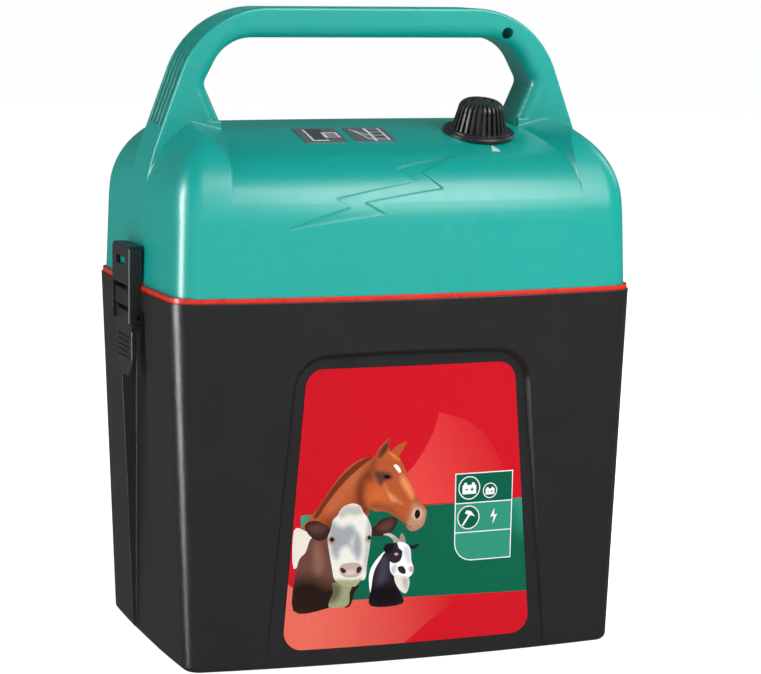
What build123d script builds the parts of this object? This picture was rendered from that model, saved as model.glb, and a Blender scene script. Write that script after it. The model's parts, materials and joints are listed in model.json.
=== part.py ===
"""Battery fence energizer with a carrying handle, millimetres, +Z up, front face towards -Y.

The origin is on the resting surface, under the middle of the case. The lower case holds a
190 x 125 x 160 fence battery. The upper housing carries the electronics, the switch knob and the
terminals, and two draw latches on the ends hold it down on its seal.
"""

from build123d import *
from math import asin, atan2, cos, degrees, pi, radians, sin, sqrt, tan
import os

# ---------------------------------------------------------------- driving dimensions
# Case: bottom and rim sizes at the corners, with every wall bowing outwards between them
CASE_HEIGHT = 181.0
CASE_HALF_WIDTH = (112.2, 120.0)
CASE_HALF_DEPTH = (71.2, 73.0)
CASE_FRONT_BOW = (6.9, 8.2)
CASE_CORNER_RADIUS = (9.0, 13.0)
SIDE_BOW = 2.0
CASE_WALL = 2.6
CASE_FLOOR = 3.0
FOOT_ROUND = 3.0

SEAL_THICKNESS = 2.5
SEAL_INSET = 0.7
SEAL_WIDTH = 5.0
COVER_BOTTOM = CASE_HEIGHT + SEAL_THICKNESS

# Upper housing: front profile at mid width, swept round the bow radius
BOW_RADIUS = 878.0
COVER_FRONT = 80.6
COVER_DRAFT = 2.5
BARREL_BEND_RADIUS = 33.0
BARREL_CREST = (15.0, 262.2)
BARREL_RADIUS = 205.0
BARREL_REAR_CREST = (10.0, 262.4)
BARREL_REAR_RADIUS = 76.6
BARREL_REAR_BEND = 47.7
SCOOP_BACK = 79.3
SCOOP_FRONT = 91.2
SCOOP_LEAN = 4.0
SCOOP_FADE = 1.6
SCOOP_LEAST_LEAN = 0.06
SCOOP_START = 15.0
SCOOP_END = 75.5
SCOOP_STATIONS = 10
SCOOP_PITCH = 7.6
SHOULDER_TOP = 263.5
SHOULDER_RADIUS = 48.0
COVER_HALF_WIDTH = 119.5
SIDE_BOW_RADIUS = 1333.0
SIDE_DRAFT = 1.6
SIDE_BEND_Z = 226.0
SIDE_BEND_RADIUS = 41.0
COVER_WALL = 2.8
COVER_END_WALL = 3.6
COVER_CORNER_RADIUS = 13.0
CORNER_FROM = (85.0, 35.0)
CAVITY_TOP = 258.0

# Handle: one moulding with the housing
HANDLE_TOP = 319.5
HANDLE_THICKNESS = 30.0
HANDLE_ARCH_RADIUS = 47.3
HANDLE_HIP_RADIUS = 95.0
HANDLE_FOOT = (119.4, 185.0)
HANDLE_HIP = (118.0, 238.3)
HANDLE_CROWN = 88.1
OPENING_CORNER = (75.8, 304.5)
OPENING_CORNER_RADIUS = 22.0
OPENING_NOTCH = (87.5, 282.1)
OPENING_NOTCH_RADIUS = 5.0
OPENING_FOOT = (78.4, 261.8)
HAND_EDGE_ROUND = 6.5
RIB_GROOVES = 4
RIB_PITCH = 6.2
RIB_GROOVE_WIDTH = 3.4
RIB_GROOVE_DEPTH = 1.6
RIB_BOTTOM = 262.0
CORD_HOLE = (72.8, 307.0)
CORD_HOLE_RADIUS = 2.9

# Label panel on the case front
PANEL_BOW_RADIUS = 890.0
PANEL_FRONT = 77.2
PANEL_WALL_SLOPE = 35.0
LABEL_THICKNESS = 0.4

# Switch knob: its axis is square to the top of the barrel, so it leans to the front
KNOB_POINT = (52.0, -28.5, 257.0)
KNOB_LEAN = 13.2
KNOB_FLANGE_RADIUS = 18.2
KNOB_FLANGE_HEIGHT = 2.6
KNOB_HEIGHT = 17.4
KNOB_SHOULDER = 5.0
KNOB_RIBS = 28
KNOB_RIB_WIDTH = 1.3
KNOB_RIB_START = 6.0
KNOB_RIB_DEPTH = 0.8
KNOB_SKIN_FOOT = 14.4
KNOB_SKIN_TOP = 11.8
KNOB_CORE_FOOT = 12.4
KNOB_CORE_TOP = 9.9
KNOB_GAP = 0.4
SHAFT_RADIUS = 3.0
BUSH_HOLE_RADIUS = 5.0
RUNNING_CLEARANCE = 0.05

# Draw latches: the levers hang from hinge blocks on the case, the straps hook over the housing
LATCH_FACE = 127.0
LEVER_FACE = 125.0
LEVER_PIVOT = (122.3, 176.0)
STRAP_PIVOT = (121.9, 167.1)
LATCH_PIN_RADIUS = 1.3
STRAP_HALF_WIDTH = 16.5
STRAP_ARM = 1.8
STRAP_TOP = 202.5
STRAP_FOOT = 164.0
WINDOW_TOP = 183.1
LEVER_HALF_WIDTH = 14.4
LEVER_TOP = 169.3
LEVER_FOOT = 136.7
LEVER_PLATE = 2.6
LEVER_EAR = 1.6
LEVER_GROOVES = 5
LEVER_GROOVE_FOOT = 146.0
LEVER_GROOVE_PITCH = 2.6
LEVER_GROOVE_WIDTH = 1.2
POCKET_HALF_WIDTH = 18.0
POCKET_FLOOR = 118.6
POCKET_BOTTOM = 168.0
CHANNEL_FLOOR = 112.6
CHANNEL_HALF_WIDTH = 24.5
CHANNEL_TOP = 171.0
BLOCK_HALF_WIDTH = 12.5
NOSE_SLOPE = 38.0
NOSE_START = 119.5
NOSE_TIP = 124.6
NOSE_TOP = 198.9
NOSE_FOOT = 186.0
NOSE_WIDTH = 21.0
NOSE_GAP = 0.7

# Fence and earth terminals on the back of the housing
TERMINAL_X = 38.0
TERMINAL_Z = 203.0
TERMINAL_FACE = 81.0
TERMINAL_PAD_RADIUS = 13.5
TERMINAL_HOLE_RADIUS = 5.0
STUD_RADIUS = 3.0
STUD_BACK = -8.0
STUD_TIP = 24.0
PILOT_RADIUS = 2.6
PILOT_START = 17.8
PILOT_CHAMFER = 0.5
NUT_RADIUS = 9.0
NUT_LENGTH = 9.0

# Battery: standard 9 V fence battery
BATTERY = (190.0, 125.0, 160.0)
BATTERY_FLOOR = CASE_FLOOR + 1.5
BATTERY_BODY = 150.0
BATTERY_RIB_TOP = 120.0
BATTERY_RIBS = [(x * (BATTERY[0] / 2 + 1.0), y) for x in (-1, 1) for y in (-50, 50)]

# Electronics
TRAY_TOP = 190.0
TRAY_PLATE = 2.0
BOSS_RADIUS = 5.0
BOSS_LENGTH = 72.0
SCREW_CORE_RADIUS = 1.5
SCREW_DEPTH = 18.0
BOARD_BOTTOM = 196.0
BOARD_THICKNESS = 1.6
BOARD_SIZE = (150.0, 92.0)
BOARD_TOP = BOARD_BOTTOM + BOARD_THICKNESS
BOARD_HOLES = [(x, y) for x in (-69.0, 69.0) for y in (-40.0, 40.0)]
TRAY_BOSSES = [(x, y) for x in (-90.0, 90.0) for y in (-48.0, 48.0)]

FAR = 400.0
Y_AXIS_TURN = (90, 0, 0)


# ---------------------------------------------------------------- shared helpers
def block(low, high):
    """Box between two corners."""
    size = [high[i] - low[i] for i in range(3)]
    middle = [(high[i] + low[i]) / 2 for i in range(3)]
    return Pos(*middle) * Box(*size)


def mirrored(shape):
    """The same shape on the other end of the housing."""
    return mirror(shape, about=Plane.YZ)


def bowed_section(z, half_width, half_depth, front_bow, corner_radius, inset=0.0):
    """Rounded rectangle at height z whose four sides bow outwards."""
    w = half_width - inset
    d = half_depth - inset
    edges = [
        ThreePointArc((-w, -d), (0, -d - front_bow), (w, -d)),
        ThreePointArc((w, -d), (w + SIDE_BOW, 0), (w, d)),
        ThreePointArc((w, d), (0, d + front_bow), (-w, d)),
        ThreePointArc((-w, d), (-w - SIDE_BOW, 0), (-w, -d)),
    ]
    face = make_face(Wire(edges))
    rounded = fillet(face.vertices(), corner_radius - inset)
    return Pos(0, 0, z) * rounded


def along_case(bottom_and_rim, z):
    """Value of a tapering case dimension at height z."""
    bottom, rim = bottom_and_rim
    return bottom + (rim - bottom) * z / CASE_HEIGHT


def case_section(z, inset=0.0):
    """Outline of the case at height z."""
    return bowed_section(
        z,
        along_case(CASE_HALF_WIDTH, z),
        along_case(CASE_HALF_DEPTH, z),
        along_case(CASE_FRONT_BOW, z),
        along_case(CASE_CORNER_RADIUS, z),
        inset,
    )


def profile_yz(edges, centre_y):
    """Solid swept from a YZ profile about a vertical axis at centre_y."""
    face = Plane.YZ * make_face(Wire(edges))
    axis = Axis((0, centre_y, 0), (0, 0, 1))
    arc = 24.0
    return revolve(face.rotate(axis, -arc / 2), axis, revolution_arc=arc)


# ---------------------------------------------------------------- upper housing
def tangent_bend(start, start_angle, end_angle, radius):
    """Arc that turns a rising front line over towards the rear, angles in degrees above level."""
    a = radians(start_angle)
    b = radians(end_angle)
    m = (a + b) / 2
    points = [
        (start[0] + radius * (sin(a) - sin(t)), start[1] + radius * (cos(t) - cos(a)))
        for t in (m, b)
    ]
    return ThreePointArc(start, points[0], points[1]), points[1]


def on_circle(centre, radius, angle):
    """Point of a circle at an angle in radians."""
    return (centre[0] + radius * cos(angle), centre[1] + radius * sin(angle))


def barrel_arcs(crest, radius, bend_radius, inset=0.0):
    """Centres of the wide crest arc and of the front bend, and the point where the bend starts.

    The drafted front line runs tangent into the bend, and the bend tangent into the wide crest arc.
    """
    draft = radians(COVER_DRAFT)
    up = (sin(draft), cos(draft))
    foot = (-COVER_FRONT + inset, COVER_BOTTOM)
    wide = (crest[0], crest[1] - radius)
    small = bend_radius - inset
    q = (foot[0] + small * cos(draft) - wide[0], foot[1] - small * sin(draft) - wide[1])
    along = q[0] * up[0] + q[1] * up[1]
    rise = -along + sqrt(along**2 - q[0] ** 2 - q[1] ** 2 + (radius - bend_radius) ** 2)
    start = (foot[0] + rise * up[0], foot[1] + rise * up[1])
    bend = (start[0] + small * cos(draft), start[1] - small * sin(draft))
    return wide, bend, start


def angle_between(centre, point):
    """Direction from one point to another in radians."""
    return atan2(point[1] - centre[1], point[0] - centre[0])


def barrel_half(crest, radius, bend_radius, inset=0.0):
    """Everything behind the front of the barrel and under its crest."""
    wide, bend, start = barrel_arcs(crest, radius, bend_radius, inset)
    big, small = radius - inset, bend_radius - inset
    join = angle_between(wide, bend)
    slope = tan(radians(COVER_DRAFT))
    low_z = COVER_BOTTOM - 10
    low = (start[0] - (start[1] - low_z) * slope, low_z)
    top = (crest[0], crest[1] - inset)
    far = FAR / 2
    edges = [
        Line(low, start),
        ThreePointArc(
            start,
            on_circle(bend, small, (pi - radians(COVER_DRAFT) + join) / 2),
            on_circle(bend, small, join),
        ),
        ThreePointArc(
            on_circle(bend, small, join),
            on_circle(wide, big, (join + pi / 2) / 2),
            top,
        ),
        Line(top, (far, top[1])),
        Line((far, top[1]), (far, low[1])),
        Line((far, low[1]), low),
    ]
    return profile_yz(edges, BOW_RADIUS - COVER_FRONT)


def barrel_front(inset=0.0):
    """Front half of the barrel."""
    return barrel_half(BARREL_CREST, BARREL_RADIUS, BARREL_BEND_RADIUS, inset)


def barrel_rear(inset=0.0):
    """Rear half of the barrel, whose crest line stands a hair above the front half's."""
    crest = (-BARREL_REAR_CREST[0], BARREL_REAR_CREST[1])
    half = barrel_half(crest, BARREL_REAR_RADIUS, BARREL_REAR_BEND, inset)
    return mirror(half, about=Plane.XZ)


def shoulder_half():
    """Everything behind the front of the shoulders and under their flat top."""
    slope = tan(radians(COVER_DRAFT))
    low = (-COVER_FRONT - 10 * slope, COVER_BOTTOM - 10)
    start_z = SHOULDER_TOP - SHOULDER_RADIUS * (1 - sin(radians(COVER_DRAFT)))
    start = (-COVER_FRONT + (start_z - COVER_BOTTOM) * slope, start_z)
    bend, end = tangent_bend(start, 90 - COVER_DRAFT, 0.0, SHOULDER_RADIUS)
    edges = [
        Line(low, start),
        bend,
        Line(end, (FAR / 2, end[1])),
        Line((FAR / 2, end[1]), (FAR / 2, low[1])),
        Line((FAR / 2, low[1]), low),
    ]
    return profile_yz(edges, BOW_RADIUS - COVER_FRONT)


def side_half(inset=0.0):
    """Everything inside the right-hand end wall, its big upper bend and its chamfered shoulder."""
    slope = tan(radians(SIDE_DRAFT))
    wall = COVER_HALF_WIDTH - inset
    low = (wall + 10 * slope, COVER_BOTTOM - 10)
    top = (wall - (SIDE_BEND_Z - COVER_BOTTOM) * slope, SIDE_BEND_Z)
    radius = SIDE_BEND_RADIUS - inset
    a, b = radians(SIDE_DRAFT), radians(45)
    m = (a + b) / 2
    centre = (top[0] - radius * cos(a), top[1] - radius * sin(a))
    middle = (centre[0] + radius * cos(m), centre[1] + radius * sin(m))
    end = (centre[0] + radius * cos(b), centre[1] + radius * sin(b))
    over = SHOULDER_TOP + 12 - end[1]
    tip = (end[0] - over, end[1] + over)
    edges = [
        Line(low, top),
        ThreePointArc(top, middle, end),
        Line(end, tip),
        Line(tip, (-FAR / 2, tip[1])),
        Line((-FAR / 2, tip[1]), (-FAR / 2, low[1])),
        Line((-FAR / 2, low[1]), low),
    ]
    face = Plane.XZ * make_face(Wire(edges))
    axis = Axis((COVER_HALF_WIDTH - SIDE_BOW_RADIUS, 0, 0), (0, 0, 1))
    arc = 24.0
    return revolve(face.rotate(axis, -arc / 2), axis, revolution_arc=arc)


def ends(inset=0.0):
    """Common part of both end walls."""
    right = side_half(inset)
    return right & mirrored(right)


def round_corners(body, radius):
    """Round the four corners all the way up, from the end walls' feet over the shoulders."""
    corners = body.edges().filter_by(GeomType.BSPLINE)
    corners = corners.filter_by(lambda e: abs(e.center().X) > CORNER_FROM[0] and abs(e.center().Y) > CORNER_FROM[1])
    return fillet(corners, radius)


def barrel_height(y):
    """Height of the barrel's middle line at a place in front of its crest."""
    wide, bend, _ = barrel_arcs(BARREL_CREST, BARREL_RADIUS, BARREL_BEND_RADIUS)
    join = on_circle(bend, BARREL_BEND_RADIUS, angle_between(wide, bend))
    if y > join[0]:
        return wide[1] + sqrt(BARREL_RADIUS**2 - (y - wide[0]) ** 2)
    reach = BARREL_BEND_RADIUS**2 - (y - bend[0]) ** 2
    return bend[1] + sqrt(max(reach, 1.0))


def make_scoop():
    """Room above the front of the barrel: its end walls steepen towards the front and run out."""
    ceiling = SHOULDER_TOP + 8
    overlap = 8.0
    sections = []
    for i in range(SCOOP_STATIONS):
        y = -SCOOP_START - i * SCOOP_PITCH
        u = (-SCOOP_START - y) / (SCOOP_END - SCOOP_START)
        crease = SCOOP_BACK + (SCOOP_FRONT - SCOOP_BACK) * u
        lean = SCOOP_LEAN * max(1 - u, 0.0) ** SCOOP_FADE + SCOOP_LEAST_LEAN
        height = barrel_height(y - crease**2 / (2 * BOW_RADIUS))
        foot_x = crease - overlap * lean
        top_x = crease + (ceiling - height) * lean
        foot = height - overlap
        points = [(-top_x, ceiling), (-foot_x, foot), (foot_x, foot), (top_x, ceiling)]
        face = make_face(Polyline(*points, close=True))
        sections.append(Plane(origin=(0, y, 0), x_dir=(1, 0, 0), z_dir=(0, -1, 0)) * face)
    return loft(sections)


def handle_profile():
    """Outer XZ outline of the handle slab."""
    right = [HANDLE_FOOT, HANDLE_HIP, (HANDLE_CROWN, HANDLE_TOP)]
    left = [(-x, z) for x, z in reversed(right)]
    face = make_face(Polyline(*right, *left, close=True))
    hips = [v for v in face.vertices() if abs(v.Y - HANDLE_HIP[1]) < 0.1]
    face = fillet(hips, HANDLE_HIP_RADIUS)
    crowns = [v for v in face.vertices() if abs(v.Y - HANDLE_TOP) < 0.1]
    return fillet(crowns, HANDLE_ARCH_RADIUS)


def hand_opening():
    """XZ outline of the opening that the hand goes through."""
    base = (OPENING_FOOT[0], 225.0)
    right = [OPENING_CORNER, OPENING_NOTCH, OPENING_FOOT, base]
    left = [(-x, z) for x, z in reversed(right)]
    face = make_face(Polyline(*right, *left, close=True))
    corners = [v for v in face.vertices() if abs(v.Y - OPENING_CORNER[1]) < 0.1]
    face = fillet(corners, OPENING_CORNER_RADIUS)
    notches = [v for v in face.vertices() if abs(v.Y - OPENING_NOTCH[1]) < 0.1]
    return fillet(notches, OPENING_NOTCH_RADIUS)


def slab(face, thickness):
    """XZ face thickened evenly either side of the middle plane."""
    return extrude(Plane.XZ * face, amount=thickness / 2, both=True)


def make_handle():
    """Handle slab with its hand opening, rounded inner edges and grooved outer rim."""
    outer = handle_profile()
    body = slab(outer, HANDLE_THICKNESS)
    rim = body.edges().filter_by(lambda e: abs(abs(e.center().Y) - HANDLE_THICKNESS / 2) < 0.01)
    rim = rim.filter_by(lambda e: e.center().Z > COVER_BOTTOM + 5)
    body = fillet(rim, 1.2)
    body -= slab(hand_opening(), HANDLE_THICKNESS + 2)
    half = HANDLE_THICKNESS / 2
    inner = [
        e
        for e in body.edges()
        if abs(abs(e.center().Y) - half) < 0.01 and is_hand_edge(e)
    ]
    body = fillet(inner, HAND_EDGE_ROUND)
    shrunk = offset(outer, -RIB_GROOVE_DEPTH)
    ring = outer - shrunk
    above = Pos(0, (HANDLE_TOP + RIB_BOTTOM) / 2 + 10) * Rectangle(FAR, HANDLE_TOP - RIB_BOTTOM + 20)
    ring = ring & above
    for i in range(RIB_GROOVES):
        y = (i - (RIB_GROOVES - 1) / 2) * RIB_PITCH
        body -= Pos(0, y, 0) * slab(ring, RIB_GROOVE_WIDTH)
    hole = Pos(CORD_HOLE[0], 0, CORD_HOLE[1]) * Rot(*Y_AXIS_TURN)
    return body - hole * Cylinder(CORD_HOLE_RADIUS, HANDLE_THICKNESS + 4)


def is_hand_edge(edge):
    """True for the edges of the hand opening above the housing."""
    middle = edge.center()
    inside_x = abs(middle.X) < 88.5
    return inside_x and 255 < middle.Z < 305.5


def bolt_emblem():
    """Plain zigzag bolt, lying on a plane that leans back at 45 degrees."""
    points = [
        (-65.4, 98.5),
        (-33.3, 105.2),
        (-40.1, 109.3),
        (1.9, 116.7),
        (-6.1, 125.1),
        (30.6, 136.4),
        (6.0, 122.0),
        (15.1, 112.7),
        (-25.7, 107.0),
        (-16.5, 102.2),
    ]
    face = make_face(Polyline(*points, close=True))
    across = Plane(origin=(0, 0, 0), x_dir=(1, 0, 0), z_dir=(0, -1, 1))
    return extrude(across * face, amount=FAR)


def make_cover():
    """Upper housing: shoulders, scooped barrel, handle, latch noses and screw bosses."""
    shoulder = shoulder_half()
    body = shoulder & mirror(shoulder, about=Plane.XZ) & ends()
    body = round_corners(body, COVER_CORNER_RADIUS)
    barrel = barrel_front() & barrel_rear()
    front_scoop = make_scoop()
    rear_scoop = mirror(front_scoop, about=Plane.XZ)
    reach = SCOOP_START + 0.01
    middle = block((-SCOOP_BACK, -reach, 250), (SCOOP_BACK, reach, SHOULDER_TOP + 8))
    scoop = (front_scoop + rear_scoop + middle) - barrel
    body -= scoop
    emblem = bolt_emblem() - barrel_front(0.5)
    body -= emblem
    body += make_handle()
    body &= block((-FAR, -FAR, COVER_BOTTOM), (FAR, FAR, FAR))
    cavity = barrel_front(COVER_WALL) & barrel_rear(COVER_WALL)
    cavity = round_corners(cavity & ends(COVER_END_WALL), COVER_CORNER_RADIUS - COVER_WALL)
    cavity &= block((-FAR, -FAR, 0), (FAR, FAR, CAVITY_TOP))
    for x, y in TRAY_BOSSES:
        cavity -= Pos(x, y, TRAY_TOP + BOSS_LENGTH / 2) * Cylinder(BOSS_RADIUS, BOSS_LENGTH)
    body -= cavity
    for x, y in TRAY_BOSSES:
        body -= Pos(x, y, TRAY_TOP + SCREW_DEPTH / 2) * Cylinder(SCREW_CORE_RADIUS, SCREW_DEPTH)
    body += latch_nose()
    body += mirrored(latch_nose())
    body -= Pos(*KNOB_POINT) * Rot(KNOB_LEAN, 0, 0) * Cylinder(BUSH_HOLE_RADIUS, 30.0)
    for x in (-TERMINAL_X, TERMINAL_X):
        body += on_terminal(x, Pos(0, 0, -2.0) * Cylinder(TERMINAL_PAD_RADIUS, 4.0))
        body -= on_terminal(x, Cylinder(TERMINAL_HOLE_RADIUS, 30.0))
    return body


def latch_nose():
    """Sloping catch on the right-hand end wall that the latch strap hooks over."""
    drop = tan(radians(NOSE_SLOPE))
    root = NOSE_START - 2.5
    points = [
        (root, NOSE_FOOT),
        (NOSE_START, NOSE_FOOT),
        (NOSE_TIP, NOSE_FOOT + 4.5),
        (NOSE_TIP, NOSE_TOP - (NOSE_TIP - NOSE_START) * drop),
        (NOSE_START, NOSE_TOP),
        (root, NOSE_TOP + 1.5),
    ]
    return slab(make_face(Polyline(*points, close=True)), NOSE_WIDTH)


# ---------------------------------------------------------------- case
def panel_outline(half_bottom, half_top, bottom, top, corner, foot_corner=0.0):
    """Trapezoid with rounded upper corners, in the XZ plane."""
    points = [(-half_bottom, bottom), (half_bottom, bottom), (half_top, top), (-half_top, top)]
    face = make_face(Polyline(*points, close=True))
    upper = [v for v in face.vertices() if v.Y > (bottom + top) / 2]
    face = fillet(upper, corner)
    if foot_corner:
        lower = [v for v in face.vertices() if abs(v.Y - bottom) < 0.1]
        face = fillet(lower, foot_corner)
    return face


def upright_drum(front, radius):
    """Upright cylinder whose foremost line is at Y = -front."""
    return Pos(0, radius - front, 100) * Cylinder(radius, 400)


def make_case():
    """Open case with its rim, latch channels and pockets, hinge blocks and label panel."""
    outer = loft([case_section(0), case_section(CASE_HEIGHT)], ruled=True)
    outer = fillet(outer.edges().group_by(Axis.Z)[0], FOOT_ROUND)
    cavity = loft(
        [case_section(CASE_FLOOR, CASE_WALL), case_section(CASE_HEIGHT + 1, CASE_WALL)],
        ruled=True,
    )
    inner = CHANNEL_FLOOR - CASE_WALL
    half = CHANNEL_HALF_WIDTH + CASE_WALL
    liner = block((inner, -half, CASE_FLOOR), (130, half, CASE_HEIGHT - 6))
    cavity -= liner + mirrored(liner)
    seat = block((POCKET_FLOOR - CASE_WALL, -half, 160), (130, half, CASE_HEIGHT + 5))
    cavity -= seat + mirrored(seat)
    cavity &= upright_drum(PANEL_FRONT - CASE_WALL, PANEL_BOW_RADIUS)
    body = outer - cavity
    body -= panel_recess() - upright_drum(PANEL_FRONT, PANEL_BOW_RADIUS)
    for cut in (latch_channel(), latch_pocket()):
        body -= cut + mirrored(cut)
    hinge = hinge_block()
    body += hinge + mirrored(hinge)
    for x, y in BATTERY_RIBS:
        low_x, high_x = sorted((x, x + 2.4 * x / abs(x)))
        body += block((low_x, y - 1.5, CASE_FLOOR - 1), (high_x, y + 1.5, BATTERY_RIB_TOP))
    return body


def panel_recess():
    """Cutter for the label panel: its walls slope, and it is open at the foot of the case."""
    face = panel_outline(72.2, 56.3, -1.0, 150.0, 13.0)
    plane = Plane(origin=(0, -72, 0), x_dir=(1, 0, 0), z_dir=(0, -1, 0))
    return extrude(plane * face, 20, taper=-PANEL_WALL_SLOPE)


def latch_channel():
    """Upright channel in the right-hand end wall: its floor is plumb, so it deepens upwards."""
    floor = CHANNEL_HALF_WIDTH - 2.0
    outside = CHANNEL_HALF_WIDTH + 2.0
    points = [
        (CHANNEL_FLOOR, -floor),
        (CHANNEL_FLOOR + 16, -outside),
        (CHANNEL_FLOOR + 16, outside),
        (CHANNEL_FLOOR, floor),
    ]
    face = Pos(0, 0, -1) * make_face(Polyline(*points, close=True))
    return extrude(face, CHANNEL_TOP + 1)


def latch_pocket():
    """Pocket in the right-hand end wall behind the latch."""
    pocket = block(
        (POCKET_FLOOR, -POCKET_HALF_WIDTH, POCKET_BOTTOM),
        (POCKET_FLOOR + 20, POCKET_HALF_WIDTH, CASE_HEIGHT + 5),
    )
    corners = pocket.edges().filter_by(Axis.X).group_by(Axis.Z)[0]
    return fillet(corners, 4.0)


def hinge_block():
    """Block on the pocket floor that carries the right-hand lever pin."""
    body = block(
        (POCKET_FLOOR - 1, -BLOCK_HALF_WIDTH, 171.8),
        (126.3, BLOCK_HALF_WIDTH, 180.3),
    )
    body = chamfer(body.edges().filter_by(Axis.Y).group_by(Axis.X)[-1], 0.6)
    return body - latch_pin(LEVER_PIVOT, 2 * LEVER_HALF_WIDTH, LATCH_PIN_RADIUS)


def latch_pin(place, length, radius):
    """Right-hand latch pin along Y."""
    return Pos(place[0], 0, place[1]) * Rot(*Y_AXIS_TURN) * Cylinder(radius, length)


def make_seal():
    """Flat rubber seal between case rim and housing."""
    z = CASE_HEIGHT
    outer = loft([case_section(z, SEAL_INSET), seal_top(SEAL_INSET)], ruled=True)
    hole = loft([case_section(z, SEAL_WIDTH), seal_top(SEAL_WIDTH)], ruled=True)
    notch = latch_pocket()
    return outer - hole - notch - mirrored(notch)


def seal_top(inset):
    """Outline of the seal's upper face."""
    return Pos(0, 0, SEAL_THICKNESS) * case_section(CASE_HEIGHT, inset)


def make_front_label():
    """Thin label that follows the bowed panel."""
    face = panel_outline(65.4, 54.2, 9.0, 147.9, 9.5, 9.0)
    plane = Plane(origin=(0, -60, 0), x_dir=(1, 0, 0), z_dir=(0, -1, 0))
    sheet = extrude(plane * face, 40)
    sheet &= upright_drum(PANEL_FRONT + LABEL_THICKNESS, PANEL_BOW_RADIUS + LABEL_THICKNESS)
    return sheet - upright_drum(PANEL_FRONT, PANEL_BOW_RADIUS)


# ---------------------------------------------------------------- latches
def make_lever():
    """Right-hand latch lever: grooved finger plate, ears round the hinge pin, strap knuckle."""
    inner = LEVER_FACE - LEVER_PLATE
    plate = block((inner, -LEVER_HALF_WIDTH, LEVER_FOOT), (LEVER_FACE, LEVER_HALF_WIDTH, LEVER_TOP))
    corners = plate.edges().filter_by(Axis.X).group_by(Axis.Z)[0]
    plate = fillet(corners, 11.0)
    edge = plate.faces().sort_by(Axis.X)[-1].edges()
    edge = edge.filter_by(lambda e: e.center().Z < LEVER_TOP - 1)
    plate = fillet(edge, 0.9)
    for i in range(LEVER_GROOVES):
        z = LEVER_GROOVE_FOOT + LEVER_GROOVE_PITCH * i
        plate -= block((LEVER_FACE - 0.8, -10.5, z), (LEVER_FACE + 1, 10.5, z + LEVER_GROOVE_WIDTH))
    ears = Part()
    for y in (-1, 1):
        low_y = min(y * LEVER_HALF_WIDTH, y * (LEVER_HALF_WIDTH - LEVER_EAR))
        ear = block((119.8, low_y, 160.0), (LEVER_FACE, low_y + LEVER_EAR, LEVER_PIVOT[1]))
        ear += Pos(0, low_y + LEVER_EAR / 2, 0) * latch_pin(LEVER_PIVOT, LEVER_EAR, 2.7)
        ears += ear
    knuckle = latch_pin(STRAP_PIVOT, 2 * LEVER_HALF_WIDTH, 2.2)
    body = plate + ears + knuckle
    loose = LATCH_PIN_RADIUS + RUNNING_CLEARANCE
    body -= latch_pin(LEVER_PIVOT, 40, loose)
    return body - latch_pin(STRAP_PIVOT, 40, loose)


def make_strap():
    """Right-hand latch strap: two arms, a slotted face and a lip that hooks over the nose."""
    inner = LATCH_FACE - 6.7
    body = block((inner, -STRAP_HALF_WIDTH, STRAP_FOOT), (LATCH_FACE, STRAP_HALF_WIDTH, STRAP_TOP))
    corners = body.edges().filter_by(Axis.X).group_by(Axis.Z)[-1]
    body = fillet(corners, 3.0)
    face = body.faces().sort_by(Axis.X)[-1].edges()
    body = fillet(face, 1.2)
    hollow_half = STRAP_HALF_WIDTH - STRAP_ARM
    drop = tan(radians(NOSE_SLOPE))
    lip = NOSE_TOP + NOSE_GAP - (inner - NOSE_START) * drop
    plate_inner = LATCH_FACE - 1.7
    points = [
        (inner - 5, STRAP_FOOT - 5),
        (plate_inner, STRAP_FOOT - 5),
        (plate_inner, lip - (plate_inner - inner) * drop),
        (inner, lip),
        (inner - 5, lip),
    ]
    body -= slab(make_face(Polyline(*points, close=True)), 2 * hollow_half)
    body -= block((inner - 1, -hollow_half, STRAP_FOOT - 5), (LATCH_FACE + 1, hollow_half, WINDOW_TOP))
    slot = block((plate_inner - 2, -9.0, 192.6), (LATCH_FACE + 1, 9.0, 196.6))
    body -= slot
    return body - latch_pin(STRAP_PIVOT, 40, LATCH_PIN_RADIUS)


# ---------------------------------------------------------------- knob and switch
def on_knob_axis(shape):
    """Place a shape built about Z onto the leaning switch axis."""
    return Pos(*KNOB_POINT) * Rot(KNOB_LEAN, 0, 0) * shape


def dome(base_radius, top_radius, height, crown, start):
    """Turned dome with slightly tapering sides, a rounded shoulder and a shallow spherical crown."""
    rim = top_radius - KNOB_SHOULDER
    crown_radius = (rim**2 + crown**2) / (2 * crown)
    crown_angle = degrees(asin(rim / crown_radius))
    side_top = (top_radius, height - KNOB_SHOULDER)
    bevel = KNOB_SHOULDER * (1 - sqrt(0.5))
    edges = [
        Line((0, start), (base_radius, start)),
        Line((base_radius, start), side_top),
        ThreePointArc(side_top, (top_radius - bevel, height - bevel), (rim, height)),
        CenterArc((0, height + crown - crown_radius), crown_radius, 90 - crown_angle, crown_angle),
        Line((0, height + crown), (0, start)),
    ]
    return revolve(Plane.XZ * make_face(Wire(edges)), Axis.Z)


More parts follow.
